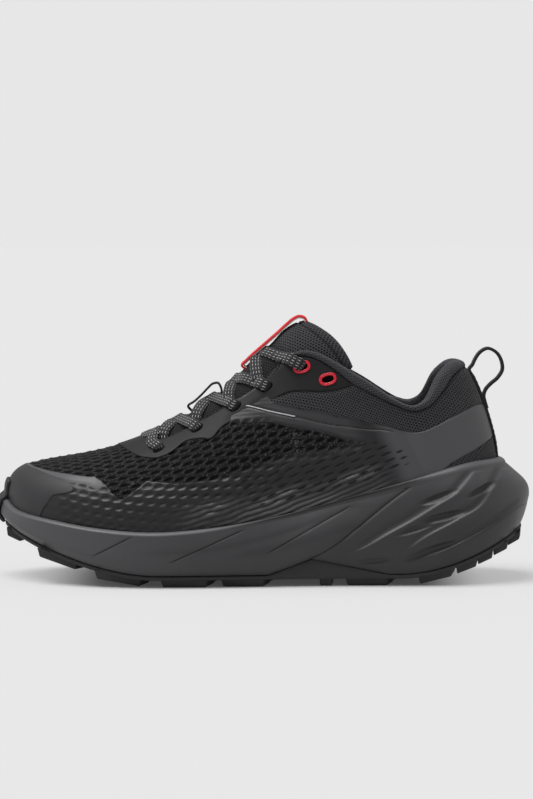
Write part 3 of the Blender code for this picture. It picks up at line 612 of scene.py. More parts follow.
meshMaterial = makeMeshMaterial()
filmMaterial = makeFilmMaterial("fusedFilm", "0f0f11", "161618", 0.58)
heelFilmMaterial = makeFilmMaterial("heelFilm", "48484a", "4c4c4e", 0.42)
capMaterial = makeRubberMaterial("mouldedToeRubber", "262628", "2e2e30", 0.5)
outsoleMaterial = makeRubberMaterial("carbonRubber", "272729", "313133", 0.62)
foamMaterial = makeFoamMaterial()
tongueMaterial = makeKnitMaterial("spacerKnit", "2f2f31", "4d4d51", "030303", 1.8, 0.05)
liningMaterial = makeKnitMaterial("brushedLining", "38383b", "505054", "1a1a1b", 1.45, 0.1)
insoleMaterial = makeKnitMaterial("insoleJersey", "1c1c1e", "2c2c2e", "0a0a0b", 1.6, 0.1)
webbingMaterial = makeWebbingMaterial("blackWebbing", "0b0b0c", "242426")
ribbonMaterial = makeWebbingMaterial("redRibbon", "c41822", "dc2a32", "e8e4e2")
laceMaterial = makeLaceMaterial()
ringMaterial = makeEnamelMaterial()
pipingMaterial = makePlainThread("reflectivePiping", "9a9a9c", "c8c8ca")
threadMaterial = makePlainThread("greyThread", "3a3a3c", "5c5c5e")
print("materials made")

# Camera, floor and light
cameraSettings = {
    "eye": (3.1, -1600, 194.7),
    "aim": (3.1, 0, 99.7),
    "focalPixels": 2862,  # in the frame of 533 by 799 pixels
    "longSide": 799,
    "sensor": 36,
}
lightSettings = {
    "backdrop": "e7e7e7",
    "floorUnder": ("c2c2c2", 0.05),  # colour and glow of the table under the shoe
    "floorBeyond": ("8f8f8f", 0.42),  # and away from it, where its stronger glow is painted light that lightens the cast shadow beyond toe and heel
    "underEnds": (0.085, 0.13),  # where the one fades to the other: metres from the middle, along the shoe
    "underSides": (0.05, 0.1),  # and across it
    "behind": 0.45,
    "beside": 0.7,
    "inFront": 0.34,
    "keyStrength": 3.2,
    "keyAngle": 40,
    "keyTilt": 8,  # degrees toward the camera
    "keyAside": -16,  # degrees toward the toe
}


def shoePoint(point):
    return (np.array(point) - shoeMiddle) * mm


def makeCamera():
    eye, aim = shoePoint(cameraSettings["eye"]), shoePoint(cameraSettings["aim"])
    bpy.ops.object.camera_add(location=eye)
    camera = bpy.context.object
    drop, level = eye[2] - aim[2], aim[1] - eye[1]
    camera.rotation_euler = (math.pi / 2 - math.atan2(drop, level), 0, 0)
    camera.data.sensor_width = cameraSettings["sensor"]
    camera.data.lens = cameraSettings["sensor"] * cameraSettings["focalPixels"] / cameraSettings["longSide"]
    camera.data.clip_end = 100
    bpy.context.scene.camera = camera


def makeStage():
    scene = bpy.context.scene
    scene.view_settings.view_transform = "Standard"
    scene.view_settings.look = "None"
    bpy.ops.mesh.primitive_plane_add(size=60)
    floor = bpy.context.object
    floor.name = "floor"
    paper, tree, shader = newMaterial("palePaper", Roughness=0.9, Specular_IOR_Level=0.0)
    place = addNode(tree, "ShaderNodeSeparateXYZ", {0: addNode(tree, "ShaderNodeTexCoord").outputs["Object"]})
    # the floor glows more away from under the shoe, painted light that lightens the cast shadow beyond the
    # toe and heel; its colour is darker there so the lit floor looks even
    beyond = []
    for axis, (near, far) in enumerate((lightSettings["underEnds"], lightSettings["underSides"])):
        away = addNode(tree, "ShaderNodeMath", {0: place.outputs[axis]}, operation="ABSOLUTE").outputs[0]
        beyond.append(addNode(tree, "ShaderNodeMapRange", {0: away, 1: near, 2: far},
                              interpolation_type="SMOOTHSTEP").outputs[0])
    share = addNode(tree, "ShaderNodeMath", {0: beyond[0], 1: beyond[1]}, operation="MAXIMUM").outputs[0]
    (nearTone, nearGlow), (farTone, farGlow) = lightSettings["floorUnder"], lightSettings["floorBeyond"]
    tone = mixColours(tree, share, toLinear(nearTone), toLinear(farTone))
    tree.links.new(tone, shader.inputs["Base Color"])
    glow = addNode(tree, "ShaderNodeMapRange", {0: share, 3: nearGlow, 4: farGlow}).outputs[0]
    tree.links.new(glow, shader.inputs["Emission Strength"])
    shader.inputs["Emission Color"].default_value = (1, 1, 1, 1)
    floor.data.materials.append(paper)
    # a pale backdrop to the eye; for light, a studio that is bright at its two ends,
    # grey behind the shoe and dim in front of it
    world = bpy.data.worlds.new("studio")
    scene.world = world
    world.use_nodes = True
    tree = world.node_tree
    tree.nodes.clear()
    way = addNode(tree, "ShaderNodeTexCoord").outputs["Generated"]
    split = addNode(tree, "ShaderNodeSeparateXYZ", {0: way})
    depth = addNode(tree, "ShaderNodeMapRange", {0: split.outputs[1], 1: -0.4, 2: 0.5,
                                                 3: lightSettings["inFront"], 4: lightSettings["behind"]})
    aside = addNode(tree, "ShaderNodeMath", {0: split.outputs[0]}, operation="ABSOLUTE")
    side = addNode(tree, "ShaderNodeMapRange", {0: aside.outputs[0], 1: 0.5, 2: 0.8, 3: 0.0,
                                                4: lightSettings["beside"]})
    level = addNode(tree, "ShaderNodeMath", {0: depth.outputs[0], 1: side.outputs[0]}, operation="MAXIMUM")
    seen = addNode(tree, "ShaderNodeBackground", {0: toLinear(lightSettings["backdrop"]), 1: 1.0})
    light = addNode(tree, "ShaderNodeBackground", {0: (1, 1, 1, 1), 1: level.outputs[0]})
    path = addNode(tree, "ShaderNodeLightPath").outputs["Is Camera Ray"]
    both = addNode(tree, "ShaderNodeMixShader", {0: path, 1: light.outputs[0], 2: seen.outputs[0]})
    addNode(tree, "ShaderNodeOutputWorld", {0: both.outputs[0]})
    bpy.ops.object.light_add(type="SUN", location=(0, 0, 2))
    key = bpy.context.object
    key.name = "overheadSoftbox"
    key.data.energy = lightSettings["keyStrength"]
    key.data.angle = math.radians(lightSettings["keyAngle"])
    key.rotation_euler = (math.radians(lightSettings["keyTilt"]), math.radians(lightSettings["keyAside"]), 0)


makeCamera()
makeStage()
print("camera and stage set")

# Upper: one shell with the mesh's holes, the film, the seams and the padded collar in its relief
upperSettings = {
    "columns": 760,
    "outerRows": 112,
    "innerRows": 8,
    "underRim": 0.035,  # how far below the rim the outer face starts
    "closer": 2.4,
    "filmStep": 0.3,
    "holeDepth": 0.9,
    "ribHeight": 0.35,
    "dimpleDepth": 0.6,
    "lipHeight": 0.19,
    "streakDepth": 0.35,
    "collarFill": 0.8,
    "troughDepth": 0.7,
    "saddleLine": 0.04,
    "saddlePitch": 2.6,
    "seamDepth": 0.7,
    "seamHalf": 0.7,
    "ridgeTurn": 9,  # degrees
    "lighter": (7.85, 0.5),  # where the film turns lighter toward the heel, and over how many places
    "rollRise": 0.9,  # of the top edge, where it turns over to the lining
}
# Where along the shoe each feature shows, in places: start, fade in, end, fade out
upperSpans = {
    "dimples": (1.7, 0.8, 6.6, 1.6),
    "holesThrough": (3.9, 0.8, 6.4, 0.8),
    "ridges": (3.9, 1.2, 8.3, 1.2),
    "streaks": (5.0, 1.2, 8.6, 0.8),
    "panelSeam": (5.4, 0.1, 8.5, 0.3),
    "saddle": (5.6, 0.5, 7.9, 0.6),
    "eyestayJoined": (4.95, 0.15, 6.2, 0.25),
}
# Shares of the paler tone, a painted highlight on the dimples' lips and on the strip over the toe cap, and a
# paler saddle; and of the holes that show dark through the film
upperTones = {"lips": 0.4, "strip": 0.62, "pressedLips": 0.26, "saddle": 0.3, "through": 0.45}
# Lines on the upper, place round the shoe: level. The inner side mirrors them.
filmTop = {0: 0.40, 0.68: 0.42, 1.7: 0.482, 2.51: 0.512, 2.78: 0.468, 3.18: 0.333, 3.34: 0.30, 3.46: 0.345,
           3.71: 0.473, 4.33: 0.395, 4.84: 0.366, 5.43: 0.378, 6.11: 0.404, 6.7: 0.40, 7.15: 0.43, 7.47: 0.47,
           8.0: 0.56, 8.6: 0.9, 12: 0.9}
saddleFoot = {0: 1.3, 5.0: 1.3, 5.14: 0.782, 5.5: 0.718, 5.87: 0.664, 6.2: 0.598, 6.61: 0.546, 7.2: 0.49,
              8.05: 0.5, 12: 0.5}
panelSeam = {5.4: 0.86, 5.48: 0.838, 5.89: 0.735, 6.31: 0.657, 6.99: 0.58, 7.64: 0.598, 8.39: 0.67}
collarFoot = {5.8: 1.3, 5.9: 0.83, 5.97: 0.784, 6.48: 0.686, 7.19: 0.63, 7.98: 0.665, 8.5: 0.705, 8.95: 0.738,
              9.92: 0.70, 11.92: 0.65}
heelMeshTop = {8.2: 0.0, 8.26: 0.245, 8.62: 0.302, 9.43: 0.408, 10.19: 0.422, 11.88: 0.448}
collarSeam = {6.2: 1.0, 6.8: 1.0, 7.14: 0.99, 7.54: 0.966, 7.83: 0.936, 8.21: 0.93, 8.75: 0.945, 9.24: 0.92,
              9.65: 0.88, 10.13: 0.896, 10.53: 0.935, 11.2: 0.945, 12: 0.95}
throatEdge = {0: 1.0, 2.6: 1.0, 3.2: 0.95, 4.2: 0.935, 5.0: 0.925, 5.7: 0.925, 6.1: 0.965, 6.4: 0.985,
              8.6: 0.98, 9.2: 0.955, 9.6: 0.935, 9.85: 0.945, 10.1: 0.97, 10.6: 0.985, 11.2: 0.985, 12: 0.98}
stayFoot = {0: 0.89, 0.43: 0.895, 2.46: 0.835, 3.34: 0.738, 3.74: 0.708, 4.02: 0.735, 4.22: 0.787,
            4.57: 0.753, 4.82: 0.713, 4.94: 0.76, 5.06: 0.78, 5.5: 0.795, 5.98: 0.806, 6.4: 0.806,
            6.68: 0.786, 7.05: 0.778, 7.4: 0.82, 7.82: 0.92}
stayEnd = max(stayFoot)
seamStart, seamEnd = min(panelSeam), max(panelSeam)
heelMeshStart = min(heelMeshTop)
# Skew lattices of lens shapes: two steps, half sizes of a lens, its slant in degrees, and a shift of them all
meshStep = {"first": (6.2, -0.4), "second": (-1.0, 4.6)}
holeLattice = {**meshStep, "half": (2.9, 1.2), "slant": 17, "shift": (0, 0)}
ribLattice = {**meshStep, "half": (1.5, 0.8), "slant": 40, "shift": (-3.1, -0.3)}
dimpleLattice = {**meshStep, "half": (2.9, 1.75), "slant": 12, "shift": (0, 0)}
lipLattice = {**meshStep, "half": (2.5, 0.7), "slant": 6, "shift": (0.3, -1.7)}
streakLattice = {"first": (8.4, 1.2), "second": (-2.2, 3.6), "half": (3.6, 0.75), "slant": 20,
                 "shift": (0, 0)}


def riseTable(inner):
    # for one side: length up a section at constant x from the footbed, as a table over x and level
    places = np.linspace(0, heelBack, 481)
    levels = np.linspace(0, 1, 161)
    u = (roundShoe - places) if inner else places
    lines = upperPoint(u[None, :], levels[:, None])
    xs = np.linspace(-141, 132, 274)
    cross = np.stack([np.interp(xs, line[:, 0], places) for line in lines])
    valid = (xs[None, :] >= lines[:, :1, 0]) & (xs[None, :] <= lines[:, -1:, 0])
    spots = upperPoint((roundShoe - cross) if inner else cross, levels[:, None])
    steps = np.linalg.norm(np.diff(spots, axis=0), axis=-1) * (valid[1:] & valid[:-1])
    below = np.concatenate([np.cumsum(steps[::-1], axis=0)[::-1], np.zeros((1, len(xs)))])
    return xs, levels, below[:1] - below


def readTable(table, x, level):
    xs, levels, values = table
    i = np.clip((x - xs[0]) / (xs[1] - xs[0]), 0, len(xs) - 1.001)
    j = np.clip(level * (len(levels) - 1), 0, len(levels) - 1.001)
    a, b = np.floor(i).astype(int), np.floor(j).astype(int)
    s, t = i - a, j - b
    low = values[b, a] * (1 - s) + values[b, a + 1] * s
    high = values[b + 1, a] * (1 - s) + values[b + 1, a + 1] * s
    return low * (1 - t) + high * t


def latticeShape(along, up, lattice):
    # lens shapes on a skew lattice: above 0 inside a lens, 1 at its middle
    along, up = along - lattice["shift"][0], up - lattice["shift"][1]
    step = np.array([lattice["first"], lattice["second"]]).T
    back = np.linalg.inv(step)
    i, j = back[0, 0] * along + back[0, 1] * up, back[1, 0] * along + back[1, 1] * up
    c, s = math.cos(math.radians(lattice["slant"])), math.sin(math.radians(lattice["slant"]))
    best = np.full(along.shape, -1.0)
    for di in (0, 1):
        for dj in (0, 1):
            a, b = np.floor(i) + di, np.floor(j) + dj
            dx = along - step[0, 0] * a - step[0, 1] * b
            dy = up - step[1, 0] * a - step[1, 1] * b
            long, short = (dx * c + dy * s) / lattice["half"][0], (dy * c - dx * s) / lattice["half"][1]
            best = np.maximum(best, 1 - long**2 - short**2)
    return best


def upperRelief(u, v, spot, up, ribLength, rim):
    # height of the outer face over its smooth form, with the marks that its material reads
    settings, tones = upperSettings, upperTones
    place = placeOf(u)
    shows = {name: within(place, *span) for name, span in upperSpans.items()}
    x, z = spot[..., 0], spot[..., 2]
    # millimetres under the film's edge, over the midsole's rim, into saddle, collar, heel mesh and eyestay
    below = (straightThrough(filmTop, place) - v) * ribLength
    above = (v - rim) * ribLength
    saddle = (v - straightThrough(saddleFoot, place)) * ribLength
    inCollar = (v - straightThrough(collarFoot, place)) * ribLength
    inHeel = np.where(place > heelMeshStart, (straightThrough(heelMeshTop, place) - v) * ribLength, -9)
    stay = smoothThrough(stayFoot, np.minimum(place, stayEnd))
    inStay = np.where(place < stayEnd, (v - stay) * ribLength, -9)
    # the film's edge and the saddle's foot are crisp at the toe and soften toward the heel
    edgeSoft = 0.3 + 5 * ease((place - 4.2) / 2.2)
    saddleSoft = 0.3 + 1.5 * ease((place - 6) / 2)
    filmMark = np.maximum(0.5 + below / (2 * edgeSoft), 0.5 + saddle / (2 * saddleSoft))
    inKnit = np.maximum(inCollar, inHeel)
    collarMark = 0.5 + inKnit / 0.8
    knit = ease(0.5 + inKnit / 1.6)
    film = ease(filmMark) * (1 - knit)
    bare = (1 - film) * (1 - knit)
    lens, rib = latticeShape(x, up, holeLattice), latticeShape(x, up, ribLattice)
    dimple, lip = latticeShape(x, up, dimpleLattice), ease(latticeShape(x, up, lipLattice) * 1.3)
    height = settings["filmStep"] * film
    height = height - settings["holeDepth"] * ease(lens * 1.5) * bare
    height = height + settings["ribHeight"] * ease(rib * 1.5) * bare
    # dimples in the film, not on the smooth saddle nor on the strip over the toe cap
    plain = ease(1 - saddle / 3)
    offStrip = np.maximum(ease((place - 2.7) / 0.3), ease((below - 7) / 3))
    pressed = film * plain * offStrip * shows["dimples"]
    fade = pressed * np.exp(-np.clip(below - 3, 0, None) / 26)
    height = height - settings["dimpleDepth"] * ease(dimple * 1.2) * fade
    height = height + settings["lipHeight"] * lip * fade
    strip = ease((2.9 - place) / 0.4) * ease((7 - below) / 3) * film
    onSaddle = film * ease(saddle / 3) * shows["saddle"]
    # pale: painted highlight on the dimples' lips and on the strip over the toe cap; the saddle is paler too
    pale = np.maximum.reduce([tones["lips"] * lip * fade, tones["strip"] * strip,
                              tones["pressedLips"] * lip * pressed, tones["saddle"] * onSaddle])
    # short dents toward the heel
    rear = film * plain * shows["streaks"] * ease((below + 2) / 6) * ease((above - 5) / 6)
    dent = latticeShape(x, up, streakLattice)
    height = height - settings["streakDepth"] * ease(dent * 1.4) * rear
    # ridges that leave the rim at a small angle and sweep up toward the heel; the material draws them with a
    # bump, and paints their crests paler and the ground between them darker (painted highlight and shade)
    turn = math.radians(settings["ridgeTurn"])
    sweep = above * math.cos(turn) - x * math.sin(turn)
    ridge = ease((17 - above) / 8) * shows["ridges"] * film * (1 - knit)
    ridge = ridge * (0.7 + 0.3 * np.sin(x / 9 + 1.4 * np.sin(sweep / 3)))
    # faint drawn lines along the saddle
    drawn = film * ease(saddle / 2) * (place > 5.2) * ease((8.2 - place) / 0.6)
    wave = np.sin(2 * math.pi * (saddle - 0.1 * x) / settings["saddlePitch"])
    height = height + settings["saddleLine"] * wave * drawn
    # the seam that carries the piping on toward the heel
    seam = (v - smoothThrough(panelSeam, np.clip(place, seamStart, seamEnd))) * ribLength
    groove = np.exp(-((seam / settings["seamHalf"]) ** 2)) * shows["panelSeam"]
    height = height - settings["seamDepth"] * groove
    # one soft trough where the forefoot flexes
    line = 0.6 + (z - 55.8) * 0.56
    trough = np.exp(-(((x - line) / 9) ** 2)) * within(z, 48, 10, 92, 12) * (np.abs(place - 5.8) < 2)
    height = height - settings["troughDepth"] * trough
    # the padded collar swells, but not under the eyestay nor above its own seam
    toSeam = (straightThrough(collarSeam, place) - v) * ribLength
    swell = knit * ease((v - 0.22) / 0.1) * ease(-inStay / 3) * ease(toSeam / 3)
    height = height + settings["collarFill"] * swell
    # dark: the dents, the mesh's holes seen through the film, and the seams
    through = film * plain * shows["holesThrough"] * ease((16 - below) / 8)
    through = np.maximum(through, tones["through"] * pressed)
    dark = np.maximum.reduce([np.where(rear > 0.02, dent * ease(rear * 3), -1),
                              tones["through"] * dimple * through,
                              (0.8 - np.abs(toSeam + 0.2)) * (place > 6.9),
                              (0.5 - np.abs(seam)) * (place > 6.3) * (place < 8.4)])
    lighterFrom, lighterOver = settings["lighter"]
    heelward = (place - lighterFrom) / lighterOver
    marks = {"film": np.clip(filmMark, -4, 5), "collar": np.clip(collarMark, -4, 5), "lens": lens, "rib": rib,
             "dark": dark, "heelward": heelward, "ridge": ridge, "sweep": sweep, "pale": pale}
    return height, marks


def makeUpper():
    settings = upperSettings
    u = spreadColumns(settings["columns"], 0.35, settings["closer"])
    u = np.concatenate([u, [roundShoe]])
    rim = rimLevel(u)
    bottom = np.maximum(rim - settings["underRim"], 0)
    top = smoothThrough(throatEdge, placeOf(u))
    share = np.linspace(0, 1, settings["outerRows"])[:, None]
    v = bottom + (top - bottom) * share
    places = np.broadcast_to(u, v.shape)
    spot, look = upperPoint(places, v), upperNormal(places, v)
    rise = runAlong(spot, 0)
    x = spot[..., 0]
    up = np.where(places <= heelBack, readTable(riseTable(False), x, v), readTable(riseTable(True), x, v))
    height, marks = upperRelief(places, v, spot, up, rise[-1:] / (top - bottom), rim)
    height[:, -1] = height[:, 0]  # the two sides meet at the toe
    outer = spot + height[..., None] * look
    # the top edge rolls over to the lining
    edge, edgeLook = spot[-1], look[-1]
    rising = unit(spot[-1] - spot[-3])
    roll = []
    for turn in np.radians([30, 60, 90, 120, 150]):
        over = edge - (wall / 2) * (1 - math.cos(turn)) * edgeLook
        roll.append(over + settings["rollRise"] * math.sin(turn) * rising)
    innerV = top * np.linspace(1, 0, settings["innerRows"])[:, None]
    inner = offUpper(places[:1], innerV, -wall)
    points = np.concatenate([outer, np.stack(roll), inner, outer[:1]])
    rest = len(points) - len(outer)
    around = runAlong(upperPoint(u, 0.8 + 0 * u)[None], 1)
    uv = np.stack(np.broadcast_arrays(around, rise), -1)
    uv = np.concatenate([uv, np.repeat(uv[-1:], rest, axis=0)])
    unmarked = np.full((rest, len(u)), -1.0)
    marks = {name: np.concatenate([values, unmarked]) for name, values in marks.items()}
    return gridPiece("upperShell", points, uv, marks)


upperShell = finishPiece(makeUpper(), meshMaterial, "upper_mesh", "upper")

# Plates on the upper
plateSettings = {
    "toeCap": {"thick": 0.75, "edge": 0.8, "bed": -0.3, "rows": 70, "columns": 200},
    "eyestay": {"thick": 0.6, "edge": 0.7, "bed": -0.3, "rows": 34, "columns": 520},
    "heelBand": {"thick": 1.0, "edge": 0.8, "bed": -0.3, "rows": 40, "columns": 260},
}
capSide = {0.0: 1.66, 0.052: 1.78, 0.118: 1.87, 0.158: 1.93, 0.24: 2.02, 0.283: 2.19, 0.33: 2.31, 0.385: 2.36}
capTop = {0: 0.385, 0.32: 0.392, 1.02: 0.417, 1.69: 0.42, 2.1: 0.393, 2.25: 0.372, 2.36: 0.335}
bandFoot = {8.3: 0.25, 8.62: 0.302, 9.43: 0.408, 10.19: 0.422, 12: 0.448}
bandStart = min(bandFoot)
bandTop = {8.3: 0.62, 8.44: 0.672, 8.95: 0.738, 9.92: 0.70, 12: 0.65}


def makeToeCap():
    settings = plateSettings["toeCap"]
    share = np.linspace(0, 1, settings["rows"])[:, None]
    across = np.linspace(-1, 1, settings["columns"])[None, :]
    u = across * smoothThrough(capSide, max(capSide) * share + 0 * across)
    v = share * smoothThrough(capTop, np.abs(u))
    return platePiece("toeCap", u, v, settings)


def makeEyestay():
    settings = plateSettings["eyestay"]
    share = np.linspace(0, 1, settings["rows"])[:, None]
    u = np.linspace(-stayEnd, stayEnd, settings["columns"])[None, :]
    place = np.abs(u)
    foot = smoothThrough(stayFoot, place)
    top = np.minimum(smoothThrough(throatEdge, place) - 0.01, smoothThrough(collarSeam, place) - 0.008)
    v = foot + (np.maximum(top, foot + 0.006) - foot) * share
    joined = within(place, *upperSpans["eyestayJoined"])  # here it is one film with the saddle
    sunk = -0.5 * joined * (1 - ease(share / 0.6))
    return platePiece("eyestayFilm", u + 0 * v, v, settings, sunk)


def makeHeelBand():
    # the band grows out of the side film, so its two front ends have no step
    settings = plateSettings["heelBand"]
    share = np.linspace(0, 1, settings["rows"])[:, None]
    u = np.linspace(bandStart, roundShoe - bandStart, settings["columns"])[None, :]
    place = placeOf(u)
    foot = np.maximum(straightThrough(bandFoot, place), rimLevel(u)[None, :] - 0.03)
    v = foot + (smoothThrough(bandTop, place) - foot) * share
    sunk = -0.9 * (1 - ease((place - 8.4) / 0.9)) + 0 * v
    return platePiece("heelBandFilm", u + 0 * v, v, settings, sunk)


# Eyelets: place round the shoe and level, the last two with a ring; half sizes of the slot
eyelets = ((3.59, 0.805), (4.48, 0.86), (5.26, 0.868), (5.93, 0.888), (6.78, 0.93), (7.29, 0.875))
eyeletSettings = {"halfLength": 3.4, "halfWidth": 2.0, "depth": 4.5, "ringRise": 15, "slotRise": 45,
                  "ringPoints": 72, "ringSquare": 0.85, "ringLift": 0.15, "ringOverlap": 0.1}
ringed = eyelets[-2:]
# section of a ring, outward from its hole and up
ringSection = ((0.0, -0.5), (0.0, 0.75), (0.25, 1.1), (0.6, 1.2), (0.8, 0.65), (1.0, 1.2), (1.35, 1.1),
               (1.6, 0.75), (1.6, -0.5), (0.0, -0.5))


def bothSides(place):
    return place, (roundShoe - place[0], place[1])


def eyeletFrame(eyelet):
    # the slots rise toward the heel, square to the lace that enters them
    u, v = np.array(eyelet[0]), np.array(eyelet[1])
    spot, out = upperPoint(u, v), upperNormal(u, v)
    onRing = eyelet[1] in [level for _, level in ringed]
    rise = math.radians(eyeletSettings["ringRise" if onRing else "slotRise"])
    along = np.array([math.cos(rise), 0, math.sin(rise)])
    along = unit(along - out * (along @ out))
    return spot, along, np.cross(out, along), out


def makeEyeletCutter():
    cutters = []
    for eyelet in eyelets:
        for one in bothSides(eyelet):
            spot, along, across, out = eyeletFrame(one)
            bpy.ops.object.select_all(action="DESELECT")
            bpy.ops.mesh.primitive_cylinder_add(vertices=28, radius=1, depth=2)
            cutter = bpy.context.object
            for vertex in cutter.data.vertices:
                a, b, c = vertex.co
                place = spot + a * eyeletSettings["halfLength"] * along
                place = place + b * eyeletSettings["halfWidth"] * across + c * eyeletSettings["depth"] * out
                vertex.co = shoePoint(place)
            cutters.append(cutter)
    return joinPieces("eyeletCutter", cutters)


def makeRing(name, eyelet):
    # a flat oval rim with a fine groove along its middle
    settings = eyeletSettings
    spot, along, across, out = eyeletFrame(eyelet)
    turn = np.linspace(0, 2 * math.pi, settings["ringPoints"] + 1)
    flat, wide = squareOval(turn, settings["ringSquare"])
    rows = []
    for outside, high in ringSection:
        outside = outside - settings["ringOverlap"]
        rim = (flat * (settings["halfLength"] + outside))[:, None] * along
        rim = rim + (wide * (settings["halfWidth"] + outside))[:, None] * across
        rows.append(spot + rim + (settings["ringLift"] + high) * out)
    return gridPiece(name, np.stack(rows))


cutter = makeEyeletCutter()
finishPiece(makeToeCap(), capMaterial, "overlay_film", "toe_cap")
eyestay = finishPiece(makeEyestay(), filmMaterial, "overlay_film", "eyestay")
finishPiece(makeHeelBand(), heelFilmMaterial, "overlay_film", "heel_band")
for piece in (upperShell, eyestay):
    addModifier(piece, "BOOLEAN", operation="DIFFERENCE", solver="MANIFOLD", object=cutter)
    print("eyelets cut in", piece.name, len(piece.data.polygons), "faces")
bpy.data.objects.remove(cutter)
for number, eyelet in enumerate(ringed, 1):
    for side, one in zip(("outer", "inner"), bothSides(eyelet)):
        ring = makeRing(f"eyeletRing_{side}_{number}", one)
        finishPiece(ring, ringMaterial, "eyelet_ring", f"eyelet_{side}_{number}")

# Collar lining: a padded roll sewn on outside, turned over the edge and down inside
liningSettings = {
    "start": 6.2,
    "columns": 340,
    "outsideRows": 10,
    "insideRows": 16,
    "backRows": 28,
    "pad": 6.5,
    "foot": 0.36,
    "outside": 1.5,
    "shutOver": 0.35,
    "innerDip": 0.05,
    "dipSpan": (6.9, 0.5, 8.9, 0.5),
    "backing": 2.0,
    "shadeFrom": 4.5,
    "shadeOver": 2.0,
    "fill": 0.8,
}
rollHeight = {6.2: 0.3, 6.6: 1.8, 7.2: 2.0, 7.7: 1.6, 8.4: 1.2, 9.0: 1.0, 9.6: 1.4, 10: 2.6, 12: 2.6}


def makeLining():
    settings = liningSettings
    u = np.linspace(settings["start"], roundShoe - settings["start"], settings["columns"])
    place = placeOf(u)
    shut = np.sqrt(np.clip((place - settings["start"]) / settings["shutOver"], 0, 1))  # closes the two ends
    seam = smoothThrough(collarSeam, place)
    turnAt = np.maximum(smoothThrough(throatEdge, place) + 0.004, seam + 0.004)
    # the inner side of the collar dips lower in front of the ankle
    turnAt = turnAt - settings["innerDip"] * within(place, *settings["dipSpan"]) * (u > heelBack)
    seam = np.minimum(seam, turnAt - 0.004)
    pad = (wall + 0.3 + (settings["pad"] - wall) * ease((place - 7.0) / 1.6)) * shut
    width = (turnAt - seam) * 70
    rows = []
    proud = settings["outside"] * (1 - 0.5 * ease((place - 10.6) / 1.0))  # flatter at the heel's back
    for t in np.linspace(0, 1, settings["outsideRows"]):
        swell = roundedEdge(t * width + 0.8 * t, 3.0)
        rows.append(offUpper(u, seam + (turnAt - seam) * t, (-0.3 + (proud + 0.3) * swell) * shut))
    start, end = rows[-1], offUpper(u, turnAt, -pad)
    rising = unit(upperPoint(u, turnAt) - upperPoint(u, turnAt - 0.04))
    crown = (smoothThrough(rollHeight, place) * shut)[:, None]
    for turn in np.radians(np.arange(15, 180, 15)):
        middle, half = (start + end) / 2, (start - end) / 2
        rows.append(middle + half * math.cos(turn) + crown * math.sin(turn) * rising)
    for t in np.linspace(0, 1, settings["insideRows"]):
        v = turnAt - (turnAt - settings["foot"]) * t
        thin = ease((1 - t) / 0.6)
        rows.append(offUpper(u, v, -(wall + 0.2 + (pad - wall) * thin) * np.maximum(shut, 0.02)))
    for t in np.linspace(0, 1, settings["backRows"]):
        v = settings["foot"] + (seam - settings["foot"]) * t
        rows.append(offUpper(u, v, -settings["backing"] * shut))
    rows.append(rows[0])
    grid = np.stack(rows)
    for k in (0, -1):
        grid[:, k] = grid[:, k].mean(0)
    edgeRow = settings["outsideRows"] - 1
    uv = np.stack(np.broadcast_arrays(runAlong(grid, 1)[edgeRow][None], runAlong(grid, 0)), -1)
    # in the shade behind the ringed eyelets
    shade = np.zeros(grid.shape[:2])
    for eyelet in ringed:
        for one in bothSides(eyelet):
            away = np.linalg.norm(grid - upperPoint(np.array(one[0]), np.array(one[1])), axis=-1)
            shade = np.maximum(shade, 1 - ease((away - settings["shadeFrom"]) / settings["shadeOver"]))
    return gridPiece("collarLining", grid, uv, {"shade": shade})


lining = finishPiece(makeLining(), liningMaterial, "upper_mesh")

# Tongue: a padded knit tongue with a seam inside its edge
tongueColumns = "midX midZ edgeX edgeZ halfWidth bulge".split()
tongueRows = {
    "root": (-76, 68, -70, 58, 19, 0),
    "throat end": (-62, 78, -54, 63, 24, 0),
    "first crossing": (-45, 88.8, -36, 68, 26, 0),
    "second crossing": (-30, 98.3, -20, 75, 27, 0),
    "third crossing": (-15, 109, -4, 83, 27.5, 0),
    "fourth crossing": (-8.6, 118.3, 9, 91, 27, 0),
    "bend": (4.7, 130.2, 26, 99, 24, 0.8),
    "shoulder": (12.2, 138.2, 38, 107, 21.5, 2),
    "under the edge": (19, 142.6, 46, 113, 21, 3),
    "top edge": (26, 144.5, 51, 119, 20.5, 3.6),
}
tongueSettings = {"rows": 130, "columns": 110, "thick": 4.5, "round": 2.2, "seamIn": 5.5, "fill": 0.5}


def tongueRow(t):
    rows = np.array(list(tongueRows.values()), float)
    places = np.linspace(0, 1, len(rows))
    return {name: smoothThrough(dict(zip(places, rows[:, i])), t) for i, name in enumerate(tongueColumns)}


def tonguePoint(t, turn):
    # outer face of the tongue: t runs from its root to its top edge, turn from one side to the other
    row = tongueRow(t)
    bend = 1 - np.cos(turn)
    reachX, reachZ = row["edgeX"] - row["midX"], row["edgeZ"] - row["midZ"]
    swell = 4 * row["bulge"] * bend * (1 - bend) / np.hypot(reachX, reachZ)
    x = row["midX"] + reachX * bend - reachZ * swell
    z = row["midZ"] + reachZ * bend + reachX * swell
    return np.stack(np.broadcast_arrays(x, row["halfWidth"] * np.sin(turn), z), -1)


def onTongue(x, y):
    # point of the tongue's outer face at a place in plan, and the direction out of it
    t = np.linspace(0, 1, 240)
    turn = np.arcsin(np.clip(y / tongueRow(t)["halfWidth"], -1, 1))
    line = tonguePoint(t, turn)
    at = np.interp(x, line[:, 0], t)
    turnAt = np.arcsin(np.clip(y / tongueRow(at)["halfWidth"], -1, 1))
    small = 0.01
    along = tonguePoint(at + small, turnAt) - tonguePoint(at - small, turnAt)
    across = tonguePoint(at, turnAt + small) - tonguePoint(at, turnAt - small)
    return tonguePoint(at, turnAt), unit(np.cross(along, across))


